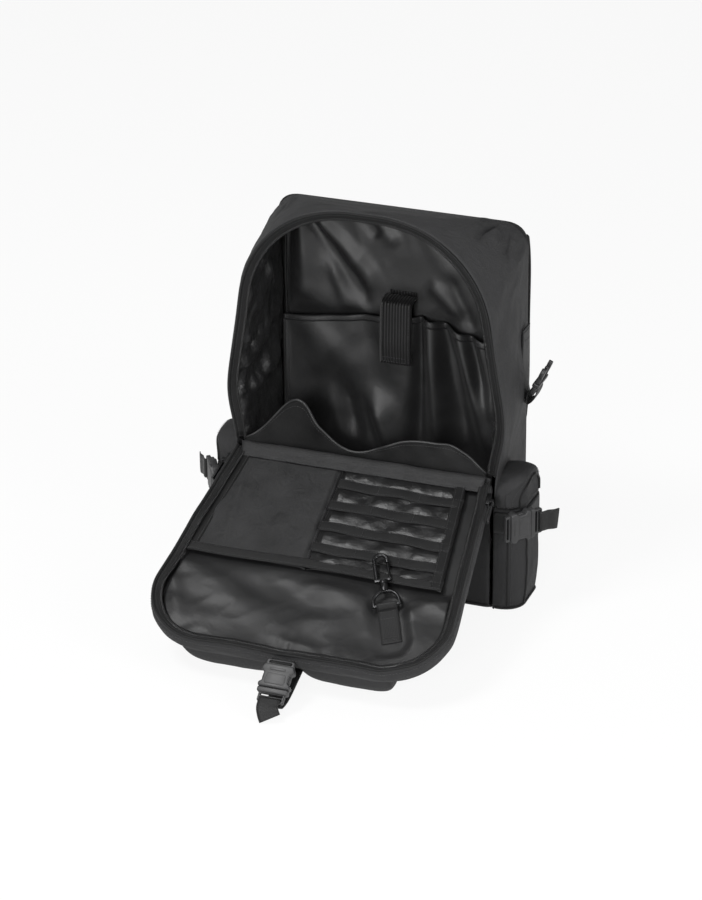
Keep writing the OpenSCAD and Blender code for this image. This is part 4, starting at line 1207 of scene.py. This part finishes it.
def plug_parts():
    head = rounded([(-17.3, 0.3), (17.3, 0.3), (17.3, 5.2), (14.8, 6.4), (-14.8, 6.4), (-17.3, 5.2)], 1.4, 4)
    parts = [plate([head], 1.0, 9.0, 1.3)]
    fr = rounded([(-14.8, 5.5), (14.8, 5.5), (14.8, 16), (-14.8, 16)], 1.6, 4)
    h1 = rounded([(-12.5, 11.2), (12.5, 11.2), (12.5, 13.5), (-12.5, 13.5)], 0.7, 3)
    h2 = rounded([(-12.5, 7.2), (12.5, 7.2), (12.5, 9.4), (-12.5, 9.4)], 0.7, 3)
    parts.append(plate([fr, h1, h2], 2.5, 7.5, 1.0))
    for s in (-1, 1):
        arm = rounded([(s * 14.4, 1.5), (s * 10.2, 1.5), (s * 9.6, -8), (s * 10.6, -18.6), (s * 13.2, -19),
            (s * 15.6, -14.8), (s * 15.8, -8.2), (s * 13.4, -6.4)][:: 1 if s < 0 else -1], 1.3, 4)
        parts.append(plate([arm], 2.5, 7.5, 0.9))
    tongue = rounded([(-2, 1), (2, 1), (1.6, -16.5), (-1.6, -16.5)], 1.0, 4)
    parts.append(plate([tongue], 3.0, 7.0, 0.8))
    return parts


SOCKET, PLUG = socket_parts(), plug_parts()
HANG_Y = HINGE_Y - PANEL_L * math.cos(math.radians(SLOPE)) - 2.5
HANG_Z = HINGE_Z - PANEL_L * math.sin(math.radians(SLOPE)) - 6.7
ON_HANG = T(4, HANG_Y, HANG_Z) @ R("X", 40) @ T(0, -32, 0)
tag(joined("front_socket", SOCKET, PLASTIC, ON_HANG @ M("Y")), "front_panel", "buckle_plastic", "front_buckle_socket")
tag(joined("front_plug_moulding", PLUG, PLASTIC, ON_HANG @ M("Y")), "front_plug", "buckle_plastic",
    "front_buckle_plug")

# web from the panel to the socket, and the strap and tail on the plug
path = xform(ON_HANG, spline([(0, 40, -4.0), (0, 36, -1.0), (0, 33, 3.6), (0, 30.2, 5.0), (0, 29, 5.4)], 24))
tag(band("front_socket_web", path, (1, 0, 0), 23.6, 1.4, WEB), "front_panel", "webbing")
path = xform(ON_HANG, spline([(0, -12.6, 3.2), (0, -13.2, 8.6), (0, -17, 10.0), (0.5, -23, 10.4), (3, -29, 9.8),
    (6.5, -34.5, 9.2)], 40))
tag(band("front_tail", path, (1, 0, 0), 23.6, 1.7, WEB), "front_plug", "webbing", "front_strap_tail")
pts = xform(ON_HANG, [(0, -10, 2.0), (0, -12.6, 1.6), (0, -15, 0.6)])
end = xform(ON_HANG, [(0, -16.4, 5)])[0]
path = spline([pts[0], pts[1], pts[2], end + (0, 2.0, -4.6), end + (0, 9, -8.0), end + (0, 27, -7.2), end
    + (0, 55, 2.0), end + (0, 86, 13)], 80)
tag(band("front_strap_web", path, (1, 0, 0), 23.6, 1.6, WEB), "front_plug", "webbing", "front_strap")

# ---------------------------------------------------------------- zip sliders and pulls keep their CAD shape
for side_name in ("left", "right"):
    for n in (f"zip_slider_{side_name}", f"zip_pull_{side_name}"):
        metal_piece(n, 0.0005, 3)

# ---------------------------------------------------------------- side pouches
PIN, POUT, PY0, PY1, PH, LID_TOP, LID_R = 150.3, 182.0, -61.5, 8.5, 127.0, 162.0, 35.0
PLAN = [(PIN, PY0)] + arc(POUT - 24, PY0 + 24, 24, -90, 0, 12) + arc(POUT - 12, PY1 - 12, 12, 0, 90, 8) + [(PIN, PY1)]
PLAN = resample(PLAN, n=100)
plan_t = unit(np.gradient(PLAN, axis=0))
PLAN_OUT = np.stack([plan_t[:, 1], -plan_t[:, 0]], 1)
PLAN_S = run(PLAN)


def plan_x(y):
    y = np.asarray(y, float)
    f = np.clip(PY0 + 24 - y, 0, 24)
    r = np.clip(y - (PY1 - 12), 0, 12)
    return np.where(f > 0, POUT - 24 + np.sqrt(np.maximum(576 - f * f, 0)), POUT - 12
        + np.sqrt(np.maximum(144 - r * r, 0)))


def both(P, s):
    Q = np.array(P, float)
    Q[..., 0] *= s
    return Q


for s, name in ((1, "right"), (-1, "left")):
    m = Matrix.Identity(4) if s > 0 else M("X")
    z = np.linspace(1.2, PH - 0.4, 60)
    P = np.zeros((100, 60, 3))
    for j, zz_ in enumerate(z):
        t = (zz_ - 1.2) / 125.4
        puff = 1.6 * math.sin(math.pi * t) ** 0.7 - 2.5 * (1 - t) ** 8
        puff = puff - 1.3 * math.exp(-((zz_ - 108.5) / 13) ** 4)
        w = np.abs(np.sin(np.pi * np.arange(100) / 99)) ** 0.25
        d = w * (puff + 0.8 * noise2(PLAN_S, 0 * PLAN_S + zz_, 26, 200 + s)
            + 0.5 * noise2(PLAN_S, 0 * PLAN_S + zz_, 11, 203 + s))
        d = np.maximum(d, -2.0)
        q = PLAN + PLAN_OUT * d[:, None]
        P[:, j] = np.stack([q[:, 0], q[:, 1], np.full(100, zz_)], 1)
    Q = both(P, s)
    sd = facing(Q, 50, 30, (s, 0, 0))
    o = sheet(f"pouch_{name}_cloth", Q, OUTER, 1.4, sd)
    tag(o, "pack", "outer_fabric", f"pouch_{name}")
    declare_sheet(o)
    NQ = grid_normals(Q) * sd
    # floor of the pouch
    A, B = np.meshgrid(np.linspace(0, 1, 30), np.linspace(0, 1, 40), indexing="ij")
    yb = PY0 + 1 + (PY1 - PY0 - 2) * B
    xb = PIN + (plan_x(yb) - 2.5 - PIN) * A
    Fq = both(np.stack([xb, yb, 1.6 + 0 * xb], -1), s)
    o = sheet(f"pouch_{name}_floor", Fq, OUTER, 1.0, facing(Fq, 10, 10, (0, 0, -1)))
    tag(o, "pack", "outer_fabric")
    declare_sheet(o)
    # seams down the front and the outer face, and piping at the bottom
    for i in (14, 34, 82):
        path = Q[i, 2:-2] + NQ[i, 2:-2] * 0.5
        tag(tube(f"pouch_{name}_seam_{i}", path, 1.3 if i == 34 else 0.8, TAPE, 8), "pack", "tape")
        stitch("pack", Q[i + 3, 2:-2] + NQ[i + 3, 2:-2] * 0.25, NQ[i + 3, 2:-2], 3.2, 2.2, 0.28)
    tag(tube(f"pouch_{name}_foot_piping", Q[2:-2, 0] + np.array([0, 0, 1.2]), 1.7, TAPE, 8), "pack", "tape")
    # zip below the lid
    path = Q[2:-2, -1] + NQ[2:-2, -1] * 0.5
    tag(zip_teeth(f"pouch_{name}_zip", path - np.array([0, 0, 0.2]), NQ[2:-2, -1], COIL, 1.7, 3.0, 1.3), "pack",
        "tape")
    tag(tube(f"pouch_{name}_piping", Q[2:-2, -4] + NQ[2:-2, -4] * 0.6, 1.5, TAPE, 8), "pack", "tape")
    # arched lid, in a fan of lines from the middle of its base
    yc = (PY0 + PY1) / 2
    arch = np.array([(PY0, PH + 0.4)] + arc(PY0 + 28, LID_TOP - 28, 28, 180, 90, 16)
        + arc(PY1 - 28, LID_TOP - 28, 28, 90, 0, 16) + [(PY1, PH + 0.4)])
    arch = resample(arch, n=90)
    prof = [(PIN + 0.8, 0.985), (PIN + 3, 1.0), (158, 1.02), (164, 1.03), (170, 1.025), (175, 1.01), (178.5, 0.985),
        (180.8, 0.955), (182, 0.91), (182.6, 0.8), (183.0, 0.6), (183.2, 0.4), (183.2, 0.2), (183.2, 0.02)]
    prof = resample([(a, b * LID_R) for a, b in prof], n=44)
    P = np.zeros((90, 44, 3))
    for j, (px, pk) in enumerate(prof):
        k = pk / LID_R
        y = yc + (arch[:, 0] - yc) * k
        zq = PH + 0.4 + (arch[:, 1] - PH - 0.4) * k
        d = 0.5 * noise2(np.arange(90) * 1.3, 0 * y + j * 2.0, 16, 210 + s)
        x = np.minimum(px + d * (1 if j > 8 else 0.3), plan_x(np.clip(y, PY0 + 0.5, PY1 - 0.5)) + 0.8)
        P[:, j] = np.stack([np.maximum(x, PIN + 0.7), y, zq
            + (d if j < 24 else 0) * np.sin(np.pi * np.arange(90) / 89)], 1)
    Q2 = both(P, s)
    sd2 = facing(Q2, 45, 6, (0, 0, 1))
    o = sheet(f"pouch_lid_{name}_cloth", Q2, OUTER, 1.2, sd2)
    tag(o, f"pouch_lid_{name}", "outer_fabric", f"pouch_lid_{name}")
    declare_sheet(o)
    N2 = grid_normals(Q2) * sd2
    body = f"pouch_lid_{name}"
    tag(tube(f"pouch_lid_{name}_piping", Q2[:, 26] + N2[:, 26] * 0.5, 1.6, TAPE, 8), body, "tape")
    stitch(body, Q2[:, 22] + N2[:, 22] * 0.3, N2[:, 22], 3.2, 2.2, 0.28)
    # strap round the pouch
    zs_ = 96 + 12.5
    pathxy = PLAN[1:-1] + PLAN_OUT[1:-1] * 1.3
    path = both(np.stack([pathxy[:, 0], pathxy[:, 1], np.full(len(pathxy), zs_)], 1), s)
    tag(band(f"pouch_strap_{name}_web", path, (0, 0, 1), 24.0, 1.7, WEB), "pack", "webbing", f"pouch_strap_{name}")
    corner = T(POUT - 24, PY0 + 24, zs_) @ R("Z", -38) @ T(26.5, 0, 0) @ R("Z", 90) @ R("X", 90) @ R("Z", -90) @ T(0,
        8, 0)
    tag(joined(f"pouch_socket_{name}_moulding", SOCKET, PLASTIC, m @ corner), "pack", "buckle_plastic",
        f"pouch_socket_{name}")
    tag(joined(f"pouch_plug_{name}_moulding", PLUG, PLASTIC, m @ corner), f"pouch_plug_{name}", "buckle_plastic",
        f"pouch_plug_{name}")
    # loose tail from the plug
    path = xform(m @ corner, spline([(0, 12.4, 3.0), (0, 13.0, 8.8), (0, 17, 9.6), (0.5, 23, 8.8), (1.2, 30, 9.8),
        (2.0, 36, 8.8)], 40))
    acr = np.array(xform(m @ corner, [(1, 0, 0)])[0] - xform(m @ corner, [(0, 0, 0)])[0])
    tag(band(f"pouch_tail_{name}", path, acr, 23.6, 1.6, WEB), f"pouch_plug_{name}", "webbing")

    # upper side webbing and its free plug
    sx = 151.22
    path = both(spline([(sx + 2.2, 38, 301), (sx + 1.8, 38, 285), (sx + 1.2, 38, 262), (sx + 1.4, 38, 240),
        (sx + 2.6, 38, 224), (sx + 5.4, 38, 216.6), (sx + 7.6, 38, 214.6)], 60), s)
    tag(band(f"side_web_{name}_band", path, (0, 1, 0), 24.0, 1.8, WEB), "pack", "webbing", f"side_web_{name}")
    yy = np.linspace(-9, 9, 14)
    for zq in (297, 286):
        stitch("pack", both(np.stack([np.full_like(yy, sx + 3.3), 38 + yy, np.full_like(yy, zq)], 1), s), (s, 0, 0),
            2.8)
    plug_m = T(sx + 8, 38, 214.5) @ R("Y", 24) @ R("Z", 90) @ R("X", 90) @ R("X", 180) @ T(0, -30, -5)
    tag(joined(f"side_plug_{name}_moulding", PLUG, PLASTIC, m @ plug_m), f"side_plug_{name}", "buckle_plastic",
        f"side_plug_{name}")
    loop = [(0, -1.0), (1.6, 0.4), (3.8, 5.5), (4.2, 12), (3.6, 17.5), (1.6, 20.2), (-1.2, 19.8), (-3.2, 17),
        (-3.9, 12), (-3.6, 6), (-1.6, 0.6)]
    lp = spline([(a, 0, b) for a, b in loop], 60)
    path = xform(m @ T(sx + 8, 38, 214.5) @ R("Y", 24), lp)
    tag(band(f"side_plug_{name}_loop", path, (0, 1, 0), 23.6, 1.3, WEB), f"side_plug_{name}", "webbing")

    # shoulder strap: crowned pad, binding, webbing, ladder lock
    rad = (228 ** 2 / 4 + 22 ** 2) / 44
    half = math.degrees(math.asin(114 / rad))
    cy, cz = 75.5 - rad + 22, (396 + 168) / 2
    A, B = np.meshgrid(np.linspace(0, 2 * np.pi, 48, endpoint=False), np.linspace(0, 1, 110), indexing="ij")
    w = 30 * (0.93 + 0.07 * np.cos(2 * np.pi * B)) * np.minimum(1, (np.minimum(B, 1 - B) * 26 + 0.35)) ** 0.25
    tk = 7.0 * np.minimum(1, np.minimum(B, 1 - B) * 16 + 0.35)
    ca, sa = np.cos(A), np.sin(A)
    px = np.sign(ca) * np.abs(ca) ** 0.55 * w
    pr = np.sign(sa) * np.abs(sa) ** 0.75 * tk * (1 + 0.06 * np.sin(B * 60) * (sa > 0))
    th = np.radians(-half + 2 * half * B)
    rr = rad + pr
    V = np.stack([s * (STRAP_X + px), cy + rr * np.cos(th), cz + rr * np.sin(th)], -1)
    F = []
    for i in range(48):
        for j in range(109):
            a, b = i * 110 + j, ((i + 1) % 48) * 110 + j
            F.append((a, b, b + 1, a + 1) if s < 0 else (a, a + 1, b + 1, b))
    F += [tuple(i * 110 for i in (range(48) if s > 0 else reversed(range(48)))),
        tuple(i * 110 + 109 for i in (reversed(range(48)) if s > 0 else range(48)))]
    uv = np.stack([px + 40 * (sa < 0), rad * th], -1).reshape(-1, 2)
    o = add(f"shoulder_pad_{name}_cushion", V.reshape(-1, 3), F, OUTER, uv)
    bodyn = f"shoulder_strap_{name}"
    tag(o, bodyn, "padding", f"shoulder_pad_{name}", pad=0.6)
    Vg = V.reshape(48, 110, 3)
    for i in (0, 24):
        tag(tube(f"shoulder_binding_{name}_{i}", Vg[i, 2:-2], 1.9, TAPE, 8), bodyn, "tape")
    rr_ = rad + 7.8
    path = np.stack([np.full(110, s * STRAP_X), cy + rr_ * np.cos(th[0]), cz + rr_ * np.sin(th[0])], 1)
    tag(band(f"shoulder_web_{name}", path[6:-2], (1, 0, 0), 25.0, 1.5, WEB), bodyn, "webbing")
    for q in (12, 30, 50, 70, 88):
        xx = np.linspace(-10, 10, 14)
        stitch(bodyn, np.stack([s * STRAP_X + xx, np.full_like(xx, path[q][1] + 0.9), np.full_like(xx, path[q][2])],
            1), (0, 1, 0), 2.8)
    lock = T(s * STRAP_X, 76.5, 154) @ R("X", 90)
    outer_ = rounded([(-17, -12), (17, -12), (17, 12), (-17, 12)], 3, 5)
    holes = [rounded([(-13, y - 1.5), (13, y - 1.5), (13, y + 1.5), (-13, y + 1.5)], 0.8, 3) for y in (-6, 6)]
    tag(joined(f"ladder_lock_{name}_moulding", [plate([outer_] + holes, -2.5, 2.5, 1.0),
        plate([rounded([(-12.5, -2.6), (12.5, -2.6), (12.5, 2.6), (-12.5, 2.6)], 1.2, 3)], -3.4, -1.5, 0.6)], PLASTIC,
        lock), bodyn, "buckle_plastic", f"ladder_lock_{name}")
    path = spline([(s * STRAP_X, 71.5, 171), (s * STRAP_X, 73.0, 166), (s * STRAP_X, 74.6, 161.5),
        (s * STRAP_X, 76.8, 160), (s * STRAP_X, 79.2, 158.5), (s * STRAP_X, 79.8, 154), (s * STRAP_X, 79.0, 149.5)],
        30)
    tag(band(f"pad_end_web_{name}", path, (1, 0, 0), 24.0, 1.4, WEB), bodyn, "webbing")
    path = spline([(s * STRAP_X, 69.6, 24), (s * STRAP_X, 70.2, 36), (s * STRAP_X, 72.6, 70),
        (s * STRAP_X, 75.2, 112), (s * STRAP_X, 76.5, 141.2)], 50)
    tag(band(f"lower_web_{name}_band", path, (1, 0, 0), 25.0, 1.6, WEB), "pack", "webbing", f"lower_web_{name}")

# ---------------------------------------------------------------- haul handle
path = spline([(-46, 73.6, 392.6), (-46, 73.6, 385), (-45.5, 74.2, 374), (-41, 74.6, 364.5), (-30, 75, 360.6),
    (-12, 75, 359.6), (12, 75, 359.6), (30, 75, 360.6), (41, 74.6, 364.5), (45.5, 74.2, 374), (46, 73.6, 385),
    (46, 73.6, 392.6)], 110)
tag(band("haul_handle_web", path, (0, 1, 0), 6.0, 10.0, WEB), "haul_handle", "webbing", "haul_handle")
tag(tube("haul_handle_grip", spline([(-34, 75, 360), (-18, 75, 359.6), (0, 75, 359.4), (18, 75, 359.6),
    (34, 75, 360)], 40), 5.4, WEB, 16), "haul_handle", "webbing")
for s, n in ((-1, "left"), (1, "right")):
    P = np.stack(np.meshgrid(np.linspace(-12.5, 12.5, 12), np.linspace(382, 402, 12), indexing="ij"), -1)
    PP = np.stack([s * 46 + P[..., 0], 69.0 + 0.9 * np.cos(P[..., 0] / 12.5 * np.pi / 2), P[..., 1]], -1)
    o = sheet(f"handle_anchor_{n}", PP, WEB, 1.4, facing(PP, 3, 3, (0, 1, 0)))
    if s < 0:
        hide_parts("handle_anchors")
    tag(o, "pack", "webbing")
    declare_sheet(o)

# ---------------------------------------------------------------- stitches, one object for each body
for body, (V, F) in STITCH.items():
    V = np.array(V, float)
    o = add(f"stitches_{body}", V, F, THREAD, uv=V[:, [0, 2]])
    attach(o, body)

# ---------------------------------------------------------------- stage, light, camera
fm = Mat("floor")
lp = fm.t.nodes.new("ShaderNodeLightPath")
em = fm.t.nodes.new("ShaderNodeEmission")
em.inputs["Color"].default_value = (1, 1, 1, 1)
em.inputs["Strength"].default_value = 1.0
fm.b.inputs["Base Color"].default_value = (0.8, 0.8, 0.8, 1)
fm.b.inputs["Roughness"].default_value = 0.9
fm.b.inputs["Specular IOR Level"].default_value = 0.0
FLOOR_WHITE = 0.9
mix = fm.t.nodes.new("ShaderNodeMixShader")
seen = fm.math("MAXIMUM", fm.math("MAXIMUM", lp.outputs["Is Camera Ray"], lp.outputs["Is Glossy Ray"]),
    lp.outputs["Is Transmission Ray"])
fm.link(fm.math("MULTIPLY", seen, FLOOR_WHITE), mix.inputs[0])
fm.link(fm.b.outputs[0], mix.inputs[1])
fm.link(em.outputs[0], mix.inputs[2])
fm.link(mix.outputs[0], fm.out.inputs[0])
floor = add("floor", [(-9000, -9000, -0.4), (9000, -9000, -0.4), (9000, 9000, -0.4), (-9000, 9000, -0.4)],
    [(0, 1, 2, 3)], fm.m)

world = bpy.data.worlds.new("studio")
bpy.context.scene.world = world
world.use_nodes = True
wt = world.node_tree
wt.nodes.clear()
wo = wt.nodes.new("ShaderNodeOutputWorld")
wl = wt.nodes.new("ShaderNodeLightPath")
wa, wb = wt.nodes.new("ShaderNodeBackground"), wt.nodes.new("ShaderNodeBackground")
wa.inputs["Color"].default_value, wa.inputs["Strength"].default_value = (1, 1, 1, 1), 0.26
wb.inputs["Color"].default_value, wb.inputs["Strength"].default_value = (1, 1, 1, 1), 1.0
wm = wt.nodes.new("ShaderNodeMixShader")
mx = wt.nodes.new("ShaderNodeMath")
mx.operation = "MAXIMUM"
wt.links.new(wl.outputs["Is Camera Ray"], mx.inputs[0])
wt.links.new(wl.outputs["Is Transmission Ray"], mx.inputs[1])
wt.links.new(mx.outputs[0], wm.inputs[0])
wt.links.new(wa.outputs[0], wm.inputs[1])
wt.links.new(wb.outputs[0], wm.inputs[2])
wt.links.new(wm.outputs[0], wo.inputs[0])


def lamp(name, loc, aim, size, power):
    d = bpy.data.lights.new(name, "AREA")
    d.shape, d.size, d.size_y, d.energy = "RECTANGLE", size[0], size[1], power
    o = bpy.data.objects.new(name, d)
    bpy.context.scene.collection.objects.link(o)
    o.location = loc
    v = Matrix.Translation(loc).to_translation() - Matrix.Translation(aim).to_translation()
    o.rotation_mode = "QUATERNION"
    o.rotation_quaternion = v.to_track_quat("Z", "Y")
    return o


lamp("key", (-0.8, -1.1, 2.3), (0, -0.1, 0.2), (0.7, 0.7), 40)
lamp("fill", (2.1, -0.8, 1.0), (0, -0.1, 0.2), (0.9, 1.2), 26)
lamp("front", (0.3, -2.4, 1.0), (0, 0.05, 0.25), (0.8, 0.6), 32)
lamp("top", (0.0, 0.4, 2.4), (0, 0, 0.3), (1.2, 0.8), 5)

AZ, EL, ROLL, DIST = 20.56, 25.93, -0.46, 3.879
cam_d = bpy.data.cameras.new("camera")
cam = bpy.data.objects.new("camera", cam_d)
bpy.context.scene.collection.objects.link(cam)
bpy.context.scene.camera = cam
a, e = math.radians(AZ), math.radians(EL)
back = np.array([math.sin(a) * math.cos(e), -math.cos(a) * math.cos(e), math.sin(e)])
aim = np.array([0, -0.0605, 0.160])
cam.location = aim + back * DIST
cam_d.sensor_width, cam_d.lens = 36.0, 140.69
cam_d.shift_x, cam_d.shift_y = -13.67 / 900, 9.24 / 900
cam_d.clip_start, cam_d.clip_end = 0.05, 60
cam.rotation_mode = "QUATERNION"
cam.rotation_quaternion = Matrix.Translation(-back).to_translation().to_track_quat("-Z",
    "Y") @ Matrix.Rotation(math.radians(ROLL), 4, "Z").to_quaternion()
bpy.context.scene.view_settings.view_transform = "Standard"
